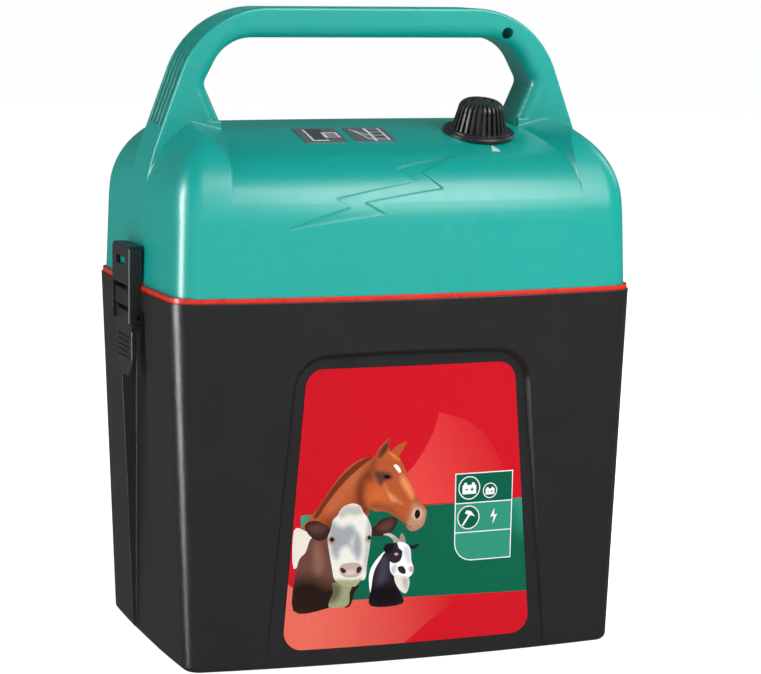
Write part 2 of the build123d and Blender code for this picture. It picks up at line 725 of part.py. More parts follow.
def make_knob():
    """Fluted switch knob with a stepped flange and a pointer lug."""
    base = KNOB_GAP
    flange = Pos(0, 0, base + 0.9) * Cylinder(KNOB_FLANGE_RADIUS, 1.8)
    flange = chamfer(flange.edges().group_by(Axis.Z)[-1], 0.5)
    step_radius = KNOB_FLANGE_RADIUS - 2.2
    step = Pos(0, 0, base + KNOB_FLANGE_HEIGHT / 2) * Cylinder(step_radius, KNOB_FLANGE_HEIGHT)
    core = dome(KNOB_CORE_FOOT, KNOB_CORE_TOP, KNOB_HEIGHT - KNOB_RIB_DEPTH, 0.6, base)
    skin = dome(KNOB_SKIN_FOOT, KNOB_SKIN_TOP, KNOB_HEIGHT, 0.9, base + 1)
    body = flange + step + core
    for i in range(KNOB_RIBS):
        half = (KNOB_FLANGE_RADIUS - KNOB_RIB_START) / 2
        fin = Pos(KNOB_RIB_START + half, 0, KNOB_HEIGHT / 2) * Box(2 * half, KNOB_RIB_WIDTH, KNOB_HEIGHT + 6)
        fin = Rot(0, 0, i * 360 / KNOB_RIBS) * fin
        body += fin & skin
    lug = Rot(0, 0, -30) * Pos(0, -KNOB_FLANGE_RADIUS + 1.2, base + 1.6) * Box(3.6, 3.4, 3.2)
    body += lug
    return body - Pos(0, 0, 6) * Cylinder(SHAFT_RADIUS, 12.01)


def make_knob_shaft():
    """Steel shaft from the switch into the knob."""
    return Pos(0, 0, -3) * Cylinder(SHAFT_RADIUS, 29.9)


def make_rotary_switch():
    """Switch body under the housing's top, with its threaded bush."""
    body = block((-10, -10, -20), (10, 10, -7))
    body = fillet(body.edges().filter_by(Axis.Z), 2.0)
    body += Pos(0, 0, -3.8) * Cylinder(4.7, 7.6)
    for x in (-6, -2, 2, 6):
        body += block((x - 0.6, -9, -24), (x + 0.6, -8.4, -19))
    return body - Cylinder(SHAFT_RADIUS + RUNNING_CLEARANCE, 60)


def make_switch_nut():
    """Hexagon nut that clamps the switch bush from below."""
    nut = extrude(RegularPolygon(7.5, 6), -2.0)
    return Pos(0, 0, -4.2) * (nut - Cylinder(4.7, 8))


# ---------------------------------------------------------------- terminals
def on_terminal(x, shape):
    """Place a shape built about +Z onto a terminal axis that points to the rear."""
    return Pos(x, TERMINAL_FACE, TERMINAL_Z) * Rot(-90, 0, 0) * shape


def terminal_insulator():
    """Stepped plastic collar that seals the stud in the back wall."""
    body = Pos(0, 0, 1.9) * Cylinder(11.0, 3.8)
    body += Pos(0, 0, 4.7) * Cylinder(8.0, 2.0)
    body += Pos(0, 0, -2.0) * Cylinder(4.8, 8.0)
    return body - Cylinder(STUD_RADIUS, 40)


def terminal_stud():
    """Stud whose plain core stands for its thread, with a slimmer pilot at the free end."""
    profile = Polyline(
        (0, STUD_BACK),
        (STUD_RADIUS, STUD_BACK),
        (STUD_RADIUS, PILOT_START - 2 * (STUD_RADIUS - PILOT_RADIUS)),
        (PILOT_RADIUS, PILOT_START),
        (PILOT_RADIUS, STUD_TIP - PILOT_CHAMFER),
        (PILOT_RADIUS - PILOT_CHAMFER, STUD_TIP),
        (0, STUD_TIP),
        close=True,
    )
    return revolve(Plane.XZ * make_face(profile), Axis.Z)


def terminal_lock_nut():
    """Hexagon nut that holds the stud from inside."""
    nut = extrude(RegularPolygon(5.8, 6), 3.0)
    return Pos(0, 0, -9.0) * (nut - Cylinder(STUD_RADIUS, 10))


def terminal_washer():
    """Flat washer that clamps the fence lead."""
    washer = Pos(0, 0, 6.7) * Cylinder(7.5, 1.2)
    return washer - Cylinder(STUD_RADIUS + RUNNING_CLEARANCE, 40)


def terminal_nut():
    """Knurled terminal nut with a domed top."""
    body = Pos(0, 0, 7.5 + NUT_LENGTH / 2) * Cylinder(NUT_RADIUS, NUT_LENGTH)
    body = fillet(body.edges().group_by(Axis.Z)[-1], 1.8)
    for i in range(24):
        groove = Pos(NUT_RADIUS + 0.35, 0, 12) * Cylinder(0.8, 12)
        body -= Rot(0, 0, i * 15) * groove
    return body - Cylinder(STUD_RADIUS + RUNNING_CLEARANCE, 80)


# ---------------------------------------------------------------- battery
def make_battery_case():
    """Battery body with rounded upright edges."""
    w, d, _ = BATTERY
    top = BATTERY_FLOOR + BATTERY_BODY
    body = block((-w / 2, -d / 2, BATTERY_FLOOR), (w / 2, d / 2, top))
    return fillet(body.edges().filter_by(Axis.Z), 6.0)


def make_battery_lid():
    """Stepped lid of the battery."""
    w, d, h = BATTERY
    low = BATTERY_FLOOR + BATTERY_BODY
    high = BATTERY_FLOOR + h - 4
    body = block((-w / 2 + 1.5, -d / 2 + 1.5, low), (w / 2 - 1.5, d / 2 - 1.5, high))
    body = fillet(body.edges().filter_by(Axis.Z), 6.0)
    return chamfer(body.edges().group_by(Axis.Z)[-1], 1.5)


def make_battery_contacts():
    """Two screw posts on the battery lid."""
    posts = Part()
    low = BATTERY_FLOOR + BATTERY[2] - 4
    for x in (-60, 60):
        posts += Pos(x, -30, low + 1.0) * Cylinder(8.0, 2.0)
        posts += Pos(x, -30, low + 5.0) * Cylinder(3.0, 6.0)
    return posts


def make_battery_pads():
    """Two rubber strips under the battery."""
    pads = Part()
    for y in (-38, 38):
        pads += block((-80, y - 10, CASE_FLOOR), (80, y + 10, BATTERY_FLOOR))
    return pads


# ---------------------------------------------------------------- electronics
def make_tray():
    """Plate that closes the housing from below and carries the circuit board."""
    plate = bowed_section(TRAY_TOP - TRAY_PLATE, 112.4, 68.4, 7.6, 10.0)
    body = extrude(plate, TRAY_PLATE)
    for x in (-60, 0, 60):
        body += block((x - 1, -60, TRAY_TOP - 5), (x + 1, 60, TRAY_TOP - TRAY_PLATE))
    for x, y in BOARD_HOLES:
        post = Pos(x, y, (TRAY_TOP + BOARD_BOTTOM) / 2) * Cylinder(3.5, BOARD_BOTTOM - TRAY_TOP)
        body += post
        body -= Pos(x, y, BOARD_BOTTOM - 3) * Cylinder(1.2, 6.0)
    for x, y in TRAY_BOSSES:
        body -= Pos(x, y, TRAY_TOP - 1) * Cylinder(1.7, 10)
    return body - Pos(-84, 0, TRAY_TOP) * Cylinder(6.0, 20)


def make_lead_grommet():
    """Rubber grommet in the tray where the battery lead comes through."""
    body = Pos(-84, 0, TRAY_TOP - 1) * Cylinder(8.5, 5.0)
    groove = Pos(-84, 0, TRAY_TOP - 1) * (Cylinder(9.0, TRAY_PLATE) - Cylinder(6.0, TRAY_PLATE))
    return body - groove - Pos(-84, 0, TRAY_TOP) * Cylinder(3.2, 20)


def screw(head_radius, head_height, radius, length):
    """Pan-head screw with its head at the bottom, pointing up from Z = 0."""
    body = Pos(0, 0, -head_height / 2) * Cylinder(head_radius, head_height)
    body += Pos(0, 0, length / 2) * Cylinder(radius, length)
    return body - Pos(0, 0, -head_height) * Box(2 * head_radius, 0.8, 1.2)


def make_tray_screws():
    """Four screws that hold the tray up to the housing."""
    screws = Part()
    for x, y in TRAY_BOSSES:
        screws += Pos(x, y, TRAY_TOP - TRAY_PLATE) * screw(3.2, 2.0, 1.5, 14.0)
    return screws


def make_board_screws():
    """Four screws that hold the board down on the tray posts."""
    screws = Part()
    for x, y in BOARD_HOLES:
        screws += Pos(x, y, BOARD_TOP) * Rot(180, 0, 0) * screw(2.6, 1.8, 1.2, 6.0)
    return screws


def make_circuit_board():
    """Circuit board with its four screw holes."""
    w, d = BOARD_SIZE
    body = block((-w / 2, -d / 2, BOARD_BOTTOM), (w / 2, d / 2, BOARD_TOP))
    for x, y in BOARD_HOLES:
        body -= Pos(x, y, BOARD_TOP) * Cylinder(1.5, 10)
    return body


def make_pulse_core():
    """Laminated frame of the pulse transformer."""
    x, y = -40.0, 6.0
    low, high = BOARD_TOP, BOARD_TOP + 40
    body = block((x - 25, y - 16, low), (x + 25, y + 16, high))
    for sign in (-1, 1):
        window = block((-4.4, -20, low + 8), (4.4, 20, high - 8))
        body -= Pos(x + sign * 12.6, y, 0) * window
    return body


def make_pulse_winding():
    """Winding on the middle limb of the pulse transformer."""
    x, y = -40.0, 6.0
    low, high = BOARD_TOP + 8.2, BOARD_TOP + 31.8
    body = block((x - 16.8, y - 24.5, low), (x + 16.8, y + 24.5, high))
    body = fillet(body.edges().filter_by(Axis.Z), 4.0)
    limb = block((x - 8.4, y - 16.2, low - 1), (x + 8.4, y + 16.2, high + 1))
    return body - limb


def make_inverter_transformer():
    """Small ferrite transformer that charges the capacitor."""
    body = block((10, 22, BOARD_TOP), (34, 42, BOARD_TOP + 5))
    body += block((12, 20, BOARD_TOP + 5), (32, 44, BOARD_TOP + 16))
    body += Pos(22, 32, BOARD_TOP + 18) * Cylinder(7.5, 5)
    return body


def make_storage_capacitor():
    """Boxed film capacitor that stores the pulse."""
    body = block((0, -4, BOARD_TOP + 0.2), (52, 16, BOARD_TOP + 30))
    body = fillet(body.edges().filter_by(Axis.Z), 2.0)
    for x in (8, 44):
        body += block((x - 1, 5, BOARD_TOP), (x + 1, 7, BOARD_TOP + 1))
    return body


def make_small_capacitors():
    """Three upright electrolytic capacitors."""
    cans = Part()
    for x in (44, 54, 64):
        can = Pos(x, 34, BOARD_TOP + 8) * Cylinder(4.0, 16)
        cans += fillet(can.edges().group_by(Axis.Z)[-1], 0.8)
    return cans


def make_heat_sink():
    """Finned heat sink behind the thyristor."""
    body = block((-20, -42, BOARD_TOP), (6, -40, BOARD_TOP + 22))
    for i in range(6):
        x = -20 + i * 5
        body += block((x, -40, BOARD_TOP), (x + 1, -34, BOARD_TOP + 22))
    return body


def make_thyristor():
    """Thyristor clamped to the front of the heat sink."""
    body = block((-12, -46.0, BOARD_TOP + 4), (-2, -42.0, BOARD_TOP + 19))
    for x in (-9.5, -7, -4.5):
        body += block((x - 0.4, -44.2, BOARD_TOP), (x + 0.4, -43.7, BOARD_TOP + 5))
    return body


# ---------------------------------------------------------------- labels on the housing
def barrel_skin(face, thickness):
    """Thin sheet on the barrel's top with the given XY outline."""
    sheet = extrude(Pos(0, 0, 235) * face, 40)
    crest = barrel_front(-thickness) - barrel_front()
    return sheet & crest


def make_pictogram_label(x):
    """Square pictogram label on the barrel."""
    face = Pos(x, -29.3) * RectangleRounded(21.4, 21.8, 1.2)
    return barrel_skin(face, 0.3)


def make_pointer_mark():
    """Small triangular mark in front of the knob."""
    face = make_face(Polyline((51.6, -46.6), (49.4, -53.0), (53.9, -53.0), close=True))
    return barrel_skin(face, 0.3)


# ---------------------------------------------------------------- the pieces
def make_parts():
    """Every piece by name, in its place."""
    lever, strap = make_lever(), make_strap()
    lever_pin = latch_pin(LEVER_PIVOT, 2 * LEVER_HALF_WIDTH - 0.1, LATCH_PIN_RADIUS)
    strap_pin = latch_pin(STRAP_PIVOT, 2 * STRAP_HALF_WIDTH, LATCH_PIN_RADIUS)
    parts = {
        "case_shell": make_case(),
        "seal_gasket": make_seal(),
        "front_label": make_front_label(),
        "cover_shell": make_cover(),
        "pictogram_label_left": make_pictogram_label(-33.3),
        "pictogram_label_right": make_pictogram_label(-7.4),
        "pointer_mark": make_pointer_mark(),
        "knob": on_knob_axis(make_knob()),
        "knob_shaft": on_knob_axis(make_knob_shaft()),
        "rotary_switch": on_knob_axis(make_rotary_switch()),
        "switch_nut": on_knob_axis(make_switch_nut()),
        "battery_case": make_battery_case(),
        "battery_lid": make_battery_lid(),
        "battery_contacts": make_battery_contacts(),
        "battery_pads": make_battery_pads(),
        "electronics_tray": make_tray(),
        "lead_grommet": make_lead_grommet(),
        "tray_screws": make_tray_screws(),
        "circuit_board": make_circuit_board(),
        "board_screws": make_board_screws(),
        "pulse_transformer_core": make_pulse_core(),
        "pulse_transformer_winding": make_pulse_winding(),
        "inverter_transformer": make_inverter_transformer(),
        "storage_capacitor": make_storage_capacitor(),
        "small_capacitors": make_small_capacitors(),
        "heat_sink": make_heat_sink(),
        "thyristor": make_thyristor(),
    }
    for side, place in (("right", lambda s: s), ("left", mirrored)):
        parts[f"latch_lever_{side}"] = place(lever)
        parts[f"latch_strap_{side}"] = place(strap)
        parts[f"lever_pin_{side}"] = place(lever_pin)
        parts[f"strap_pin_{side}"] = place(strap_pin)
    for name, x in (("fence", -TERMINAL_X), ("earth", TERMINAL_X)):
        parts[f"{name}_insulator"] = on_terminal(x, terminal_insulator())
        parts[f"{name}_stud"] = on_terminal(x, terminal_stud())
        parts[f"{name}_lock_nut"] = on_terminal(x, terminal_lock_nut())
        parts[f"{name}_washer"] = on_terminal(x, terminal_washer())
        parts[f"{name}_nut"] = on_terminal(x, terminal_nut())
    return parts


os.makedirs("parts", exist_ok=True)
for name, shape in make_parts().items():
    shape.label = name
    export_step(shape, f"parts/{name}.step")
    print(name, len(shape.solids()), round(shape.volume))
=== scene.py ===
"""Looks of the fence energizer: moulded plastics, printed labels, metal parts and studio light."""

import json
import math

import bmesh
import bpy
from mathutils import Matrix, Vector
from mathutils.bvhtree import BVHTree
from mathutils.geometry import delaunay_2d_cdt


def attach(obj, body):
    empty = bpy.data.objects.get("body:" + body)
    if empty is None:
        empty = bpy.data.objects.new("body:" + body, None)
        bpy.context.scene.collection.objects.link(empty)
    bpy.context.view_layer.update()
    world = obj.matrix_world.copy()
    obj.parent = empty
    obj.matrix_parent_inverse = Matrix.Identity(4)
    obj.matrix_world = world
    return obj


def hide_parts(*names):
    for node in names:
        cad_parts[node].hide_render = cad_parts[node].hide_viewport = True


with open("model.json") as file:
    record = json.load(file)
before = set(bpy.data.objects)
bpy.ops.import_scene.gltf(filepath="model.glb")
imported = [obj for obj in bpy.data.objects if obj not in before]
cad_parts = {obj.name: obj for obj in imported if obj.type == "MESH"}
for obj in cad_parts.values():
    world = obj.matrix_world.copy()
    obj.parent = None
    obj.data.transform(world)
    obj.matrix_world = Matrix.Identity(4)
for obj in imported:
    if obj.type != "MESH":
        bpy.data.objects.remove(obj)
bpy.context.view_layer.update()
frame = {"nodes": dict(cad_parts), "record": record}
MM = 0.001

# ------------------------------------------------------------------ sizes, in millimetres
# The label lies on a drum-shaped panel whose axis is upright
LABEL_RADIUS = 890.4
LABEL_FRONT = 77.6
LABEL_THICKNESS = 0.4
LABEL_HALF_FOOT = 65.4
LABEL_HALF_HEAD = 54.2
LABEL_LOW = 9.0
LABEL_HIGH = 147.9
LABEL_CORNER = 9.3

# Mesh pitch of the label, finer where the animals and the pale sweep need it;
# an area is its left, low, right and high edge
LABEL_PITCH = 4.0
ANIMAL_AREA = (-58.0, 30.0, 10.0, 114.0)
ANIMAL_PITCH = 0.9
SWEEP_AREA = (-10.0, 78.0, 56.0, 126.0)
SWEEP_PITCH = 2.0

# Pictogram labels on the barrel: left edge, right edge, rear edge and front edge
PICTOGRAM_LEFT = (-44.2, -22.2, -18.0, -40.6)
PICTOGRAM_RIGHT = (-17.8, 3.3, -18.0, -40.6)
PICTOGRAM_THICKNESS = 0.4
PICTOGRAM_PRINT_DEPTH = 0.32
PICTOGRAM_PITCH = 2.0
ABOVE_BARREL = 290.0

# Camera: place, angles and focal length of the studio view
CAMERA_PLACE = (-457.886, -1269.762, 351.513)
CAMERA_YAW = 0.353916
CAMERA_PITCH = -0.147471
CAMERA_ROLL = 0.0143739
CAMERA_LENS = 125.36
CAMERA_SENSOR = 36.0


# ------------------------------------------------------------------ colours
def linear(red, green, blue):
    """Scene-linear colour from display values between 0 and 255."""
    out = []
    for value in (red, green, blue):
        c = value / 255
        out.append(c / 12.92 if c <= 0.04045 else ((c + 0.055) / 1.055) ** 2.4)
    return (*out, 1.0)


def mixed(a, b, t):
    """Colour between a and b."""
    return tuple(x + (y - x) * t for x, y in zip(a, b))


LABEL_RED = linear(200, 6, 28)
LABEL_PALE_RED = linear(222, 66, 62)
LABEL_SALMON = linear(226, 104, 88)
LABEL_GREEN = linear(0, 98, 72)
LABEL_PALE_GREEN = linear(52, 152, 128)
LABEL_DARK_GREEN = linear(0, 92, 70)
LABEL_ROW_GREEN = linear(44, 143, 117)
PRINT_WHITE = linear(236, 240, 236)
FOIL_GREY = linear(104, 112, 118)
FOIL_DARK = linear(70, 80, 86)
FOIL_PALE = linear(146, 150, 158)


# ------------------------------------------------------------------ shader helpers
# Most noise values lie between these two
NOISE_LOW = 0.3
NOISE_HIGH = 0.7


def new_material(name):
    """Material with its node tree and a shader linked to the output."""
    mat = bpy.data.materials.new(name)
    mat.use_nodes = True
    tree = mat.node_tree
    tree.nodes.clear()
    out = tree.nodes.new("ShaderNodeOutputMaterial")
    shader = tree.nodes.new("ShaderNodeBsdfPrincipled")
    tree.links.new(shader.outputs["BSDF"], out.inputs["Surface"])
    return mat, tree, shader


def node(tree, kind, links=None, **settings):
    """Add a node, set its properties or sockets, and link its inputs."""
    made = tree.nodes.new(kind)
    for key, value in settings.items():
        if hasattr(made, key):
            setattr(made, key, value)
        else:
            made.inputs[key.replace("_", " ")].default_value = value
    for socket, source in (links or {}).items():
        tree.links.new(source, made.inputs[socket])
    return made


def object_place(tree, stretch=(1, 1, 1)):
    """Place on the object in metres, stretched along its axes."""
    coord = node(tree, "ShaderNodeTexCoord")
    mapping = node(tree, "ShaderNodeMapping", {"Vector": coord.outputs["Object"]})
    mapping.inputs["Scale"].default_value = stretch
    return mapping.outputs["Vector"]


def noise(tree, place, scale, detail=2.0, roughness=0.5):
    """Noise value between 0 and 1; scale is in cells per metre."""
    made = node(tree, "ShaderNodeTexNoise", {"Vector": place})
    made.inputs["Scale"].default_value = scale
    made.inputs["Detail"].default_value = detail
    made.inputs["Roughness"].default_value = roughness
    return made.outputs["Fac"]


def ranged(tree, value, low, high, start=0.0, end=1.0):
    """Map a value from start..end to low..high."""
    made = node(tree, "ShaderNodeMapRange", {"Value": value})
    made.inputs["From Min"].default_value = start
    made.inputs["From Max"].default_value = end
    made.inputs["To Min"].default_value = low
    made.inputs["To Max"].default_value = high
    return made.outputs["Result"]


def two_tone(tree, factor, dark, light):
    """Colour between two tones."""
    made = node(tree, "ShaderNodeMix", data_type="RGBA")
    tree.links.new(factor, made.inputs[0])
    made.inputs[6].default_value = dark
    made.inputs[7].default_value = light
    return made.outputs[2]


def tones(tree, shader, factor, dark, light):
    """Base colour that moves between two tones."""
    tree.links.new(two_tone(tree, factor, dark, light), shader.inputs["Base Color"])


def gloss(tree, shader, value, low, high, start=NOISE_LOW, end=NOISE_HIGH):
    """Roughness from low to high as a value goes from start to end."""
    tree.links.new(ranged(tree, value, low, high, start, end), shader.inputs["Roughness"])


def ink_colour(tree, shader, shade):
    """Base colour from the mesh's own print colours, times a shade."""
    ink = node(tree, "ShaderNodeVertexColor", layer_name="print")
    scaled = node(tree, "ShaderNodeVectorMath", {0: ink.outputs["Color"]}, operation="SCALE")
    tree.links.new(shade, scaled.inputs["Scale"])
    tree.links.new(scaled.outputs["Vector"], shader.inputs["Base Color"])


def bumps(tree, shader, layers, edge=0.0):
    """Stack bump layers of (height, depth in metres) on the shader, over softened edges."""
    normal = None
    if edge:
        soft = node(tree, "ShaderNodeBevel", samples=6)
        soft.inputs["Radius"].default_value = edge
        normal = soft.outputs["Normal"]
    for height, depth in layers:
        made = node(tree, "ShaderNodeBump", {"Height": height})
        made.inputs["Distance"].default_value = depth
        made.inputs["Strength"].default_value = 1.0
        if normal is not None:
            tree.links.new(normal, made.inputs["Normal"])
        normal = made.outputs["Normal"]
    tree.links.new(normal, shader.inputs["Normal"])


def plastic(name, colour, roughness, grain, depth, edge=0.4, tone=0.06):
    """Moulded plastic: fine grain, faint tone and gloss changes, softened edges."""
    mat, tree, shader = new_material(name)
    place = object_place(tree)
    broad = noise(tree, place, 22, 3)
    dark = tuple(c * (1 - tone) for c in colour[:3]) + (1.0,)
    light = tuple(min(1.0, c * (1 + tone)) for c in colour[:3]) + (1.0,)
    tones(tree, shader, broad, dark, light)
    gloss(tree, shader, noise(tree, place, 160, 4), roughness - 0.04, roughness + 0.04)
    fine = noise(tree, place, grain, 3, 0.6)
    wavy = noise(tree, place, 35, 1)
    bumps(tree, shader, [(wavy, 0.0001), (fine, depth)], edge * MM)
    return mat


def metal(name, colour, roughness, stretch=(1, 1, 1), scratch=900):
    """Turned or drawn metal with fine lines and a little tarnish."""
    mat, tree, shader = new_material(name)
    place = object_place(tree, stretch)
    lines = noise(tree, place, scratch, 4, 0.6)
    stain = noise(tree, object_place(tree), 90, 4)
    dull = tuple(c * 0.78 for c in colour[:3]) + (1.0,)
    tones(tree, shader, stain, dull, colour)
    gloss(tree, shader, lines, roughness - 0.08, roughness + 0.1)
    shader.inputs["Metallic"].default_value = 1.0
    bumps(tree, shader, [(lines, 0.000012)], 0.2 * MM)
    return mat


# ------------------------------------------------------------------ materials
def case_plastic():
    """Charcoal case with the fine pitted texture of a spark-eroded mould."""
    mat, tree, shader = new_material("case_black")
    place = object_place(tree)
    speck = noise(tree, place, 1500, 3, 0.7)
    tones(tree, shader, speck, linear(22, 22, 23), linear(34, 34, 35))
    patch = noise(tree, place, 60, 4)
    gloss(tree, shader, patch, 0.30, 0.38)
    shader.inputs["Specular IOR Level"].default_value = 0.45
    pits = noise(tree, place, 2300, 2, 0.6)
    sink = noise(tree, place, 18, 1)
    bumps(tree, shader, [(sink, 0.00012), (pits, 0.00006)], 0.7 * MM)
    return mat


def cover_plastic():
    """Teal housing: satin, with a fine leathery grain that glitters in the highlights."""
    mat, tree, shader = new_material("cover_teal")
    place = object_place(tree)
    speck = noise(tree, place, 1100, 3, 0.6)
    broad = noise(tree, place, 9, 2)
    tone = node(tree, "ShaderNodeMath", {0: speck, 1: broad}, operation="ADD")
    half = node(tree, "ShaderNodeMath", {0: tone.outputs[0]}, operation="MULTIPLY")
    half.inputs[1].default_value = 0.5
    tones(tree, shader, half.outputs[0], linear(0, 138, 129), linear(0, 153, 142))
    patch = noise(tree, place, 260, 4)
    gloss(tree, shader, patch, 0.28, 0.36)
    shader.inputs["Specular IOR Level"].default_value = 0.6
    grain = noise(tree, place, 1700, 2, 0.5)
    sink = noise(tree, place, 14, 1)
    bumps(tree, shader, [(sink, 0.00016), (grain, 0.00003)], 1.4 * MM)
    return mat


def seal_rubber():
    """Glossy red sealing ring with faint flow marks."""
    mat, tree, shader = new_material("seal_red")
    place = object_place(tree)
    flow = noise(tree, place, 120, 3)
    tones(tree, shader, flow, linear(186, 27, 12), linear(210, 38, 18))
    gloss(tree, shader, flow, 0.24, 0.34)
    bumps(tree, shader, [(flow, 0.00004)], 0.5 * MM)
    return mat


def print_film():
    """Printed and laminated film: the print comes from the mesh's own colours."""
    mat, tree, shader = new_material("label_print")
    place = object_place(tree)
    fleck = noise(tree, place, 900, 3, 0.6)
    ink_colour(tree, shader, ranged(tree, fleck, 0.69, 0.79, 0.25, 0.75))
    haze = noise(tree, place, 240, 4)
    gloss(tree, shader, haze, 0.30, 0.38)
    shader.inputs["Specular IOR Level"].default_value = 0.1
    bumps(tree, shader, [(noise(tree, place, 70, 2), 0.00005)])
    return mat


def foil_film():
    """Silver-grey foil with fine brushed lines under its print."""
    mat, tree, shader = new_material("pictogram_foil")
    brushed = noise(tree, object_place(tree, (1, 9, 1)), 900, 3)
    ink_colour(tree, shader, ranged(tree, brushed, 0.85, 1.15, 0.25, 0.75))
    shader.inputs["Metallic"].default_value = 0.35
    gloss(tree, shader, brushed, 0.34, 0.46)
    bumps(tree, shader, [(brushed, 0.00001)])
    return mat


def pointer_paint():
    """Silver mark in front of the knob."""
    return plastic("pointer_grey", linear(196, 205, 204), 0.38, 900, 0.00001, 0.1)


def knob_plastic():
    """Black knob, satin and slightly greasy on its ribs."""
    mat, tree, shader = new_material("knob_black")
    place = object_place(tree)
    worn = noise(tree, place, 420, 4, 0.6)
    tones(tree, shader, worn, linear(27, 27, 28), linear(44, 44, 45))
    gloss(tree, shader, worn, 0.26, 0.42)
    bumps(tree, shader, [(noise(tree, place, 1900, 2), 0.00003)], 0.25 * MM)
    return mat


def latch_plastic():
    """Black latch parts, a little glossier than the case."""
    mat, tree, shader = new_material("latch_black")
    place = object_place(tree)
    worn = noise(tree, place, 260, 4, 0.6)
    tones(tree, shader, worn, linear(26, 26, 27), linear(42, 42, 43))
    gloss(tree, shader, worn, 0.34, 0.46)
    bumps(tree, shader, [(noise(tree, place, 2100, 2), 0.00004)], 0.35 * MM)
    return mat


def circuit_lacquer():
    """Green solder resist with darker tracks running across the board."""
    mat, tree, shader = new_material("board_green")
    place = object_place(tree)
    tracks = node(tree, "ShaderNodeTexBrick", {"Vector": place})
    tracks.inputs["Scale"].default_value = 90
    tracks.inputs["Color1"].default_value = linear(8, 92, 44)
    tracks.inputs["Color2"].default_value = linear(12, 106, 52)
    tracks.inputs["Mortar"].default_value = linear(60, 150, 84)
    tracks.inputs["Mortar Size"].default_value = 0.04
    tree.links.new(tracks.outputs["Color"], shader.inputs["Base Color"])
    gloss(tree, shader, noise(tree, place, 300, 3), 0.22, 0.36, 0, 1)
    bumps(tree, shader, [(tracks.outputs["Fac"], 0.00004)], 0.1 * MM)
    return mat


def copper_winding():
    """Enamelled copper wire in close turns."""
    mat, tree, shader = new_material("winding_copper")
    place = object_place(tree)
    turns = node(tree, "ShaderNodeTexWave", {"Vector": place}, wave_type="BANDS", bands_direction="Z")
    turns.inputs["Scale"].default_value = 260
    turns.inputs["Distortion"].default_value = 0.6
    tones(tree, shader, turns.outputs["Fac"], linear(96, 40, 18), linear(196, 104, 58))
    shader.inputs["Metallic"].default_value = 0.7
    gloss(tree, shader, noise(tree, place, 500, 3), 0.26, 0.4, 0, 1)
    bumps(tree, shader, [(turns.outputs["Fac"], 0.00025)])
    return mat


def core_laminations():
    """Varnished iron sheets stacked side by side."""
    mat, tree, shader = new_material("core_iron")
    place = object_place(tree)
    sheets = node(tree, "ShaderNodeTexWave", {"Vector": place}, wave_type="BANDS", bands_direction="Y")
    sheets.inputs["Scale"].default_value = 300
    sheets.inputs["Distortion"].default_value = 0.3
    tones(tree, shader, sheets.outputs["Fac"], linear(62, 58, 54), linear(112, 108, 102))
    shader.inputs["Metallic"].default_value = 0.8
    gloss(tree, shader, noise(tree, place, 200, 3), 0.38, 0.55, 0, 1)
    bumps(tree, shader, [(sheets.outputs["Fac"], 0.00015)], 0.2 * MM)
    return mat


def all_materials():
    """One finish for each material slot of the part."""
    steel = linear(176, 178, 180)
    brass = linear(196, 160, 88)
    return {
        "case_black": case_plastic(),
        "cover_teal": cover_plastic(),
        "seal_red": seal_rubber(),
        "label_print": print_film(),
        "pictogram_foil": foil_film(),
        "pointer_grey": pointer_paint(),
        "knob_black": knob_plastic(),
        "latch_black": latch_plastic(),
        "steel": metal("steel", steel, 0.3, (1, 6, 1)),
        "pin_black": metal("pin_black", linear(58, 58, 60), 0.4),
        "brass": metal("brass", brass, 0.3),
        "aluminium": metal("aluminium", linear(190, 192, 194), 0.36, (1, 8, 1), 1200),
        "battery_body": plastic("battery_body", linear(58, 62, 68), 0.46, 1200, 0.00004),
        "battery_lid": plastic("battery_lid", linear(206, 168, 40), 0.42, 1200, 0.00003),
        "rubber_black": plastic("rubber_black", linear(24, 24, 24), 0.62, 1600, 0.00006),
        "tray_grey": plastic("tray_grey", linear(104, 108, 112), 0.44, 1300, 0.00004),
        "board_green": circuit_lacquer(),
        "core_iron": core_laminations(),
        "winding_copper": copper_winding(),
        "ferrite": plastic("ferrite", linear(52, 50, 48), 0.5, 1400, 0.00006),
        "capacitor_yellow": plastic("capacitor_yellow", linear(214, 180, 60), 0.3, 900, 0.00003),
        "capacitor_can": plastic("capacitor_can", linear(40, 52, 110), 0.28, 700, 0.00002),
        "semiconductor": plastic("semiconductor", linear(22, 22, 22), 0.46, 1500, 0.00004),
        "insulator_red": plastic("insulator_red", linear(176, 30, 26), 0.34, 1300, 0.00004),
        "insulator_green": plastic("insulator_green", linear(26, 110, 56), 0.34, 1300, 0.00004),
    }


def dress_nodes(materials):
    """Give every CAD node the finish of its slot."""
    for part in frame["record"]["subparts"]:
        mesh = frame["nodes"][part["node"]].data
        mesh.materials.clear()
        mesh.materials.append(materials[part["material_slot"]])


# ------------------------------------------------------------------ outlines
def between(before, start, end, after, t):
    """Coordinate at share t from start to end of a curve that bends with its neighbours."""
    straight = (end - before) * t
    bend = (2 * before - 5 * start + 4 * end - after) * t**2
    twist = (3 * start - before - 3 * end + after) * t**3
    return 0.5 * (2 * start + straight + bend + twist)


def smooth(points, steps=4):
    """Closed curve that passes through the points."""
    out = []
    count = len(points)
    for i in range(count):
        a, b, c, d = (points[(i + k) % count] for k in (-1, 0, 1, 2))
        for s in range(steps):
            out.append(tuple(between(*near, s / steps) for near in zip(a, b, c, d)))
    return out


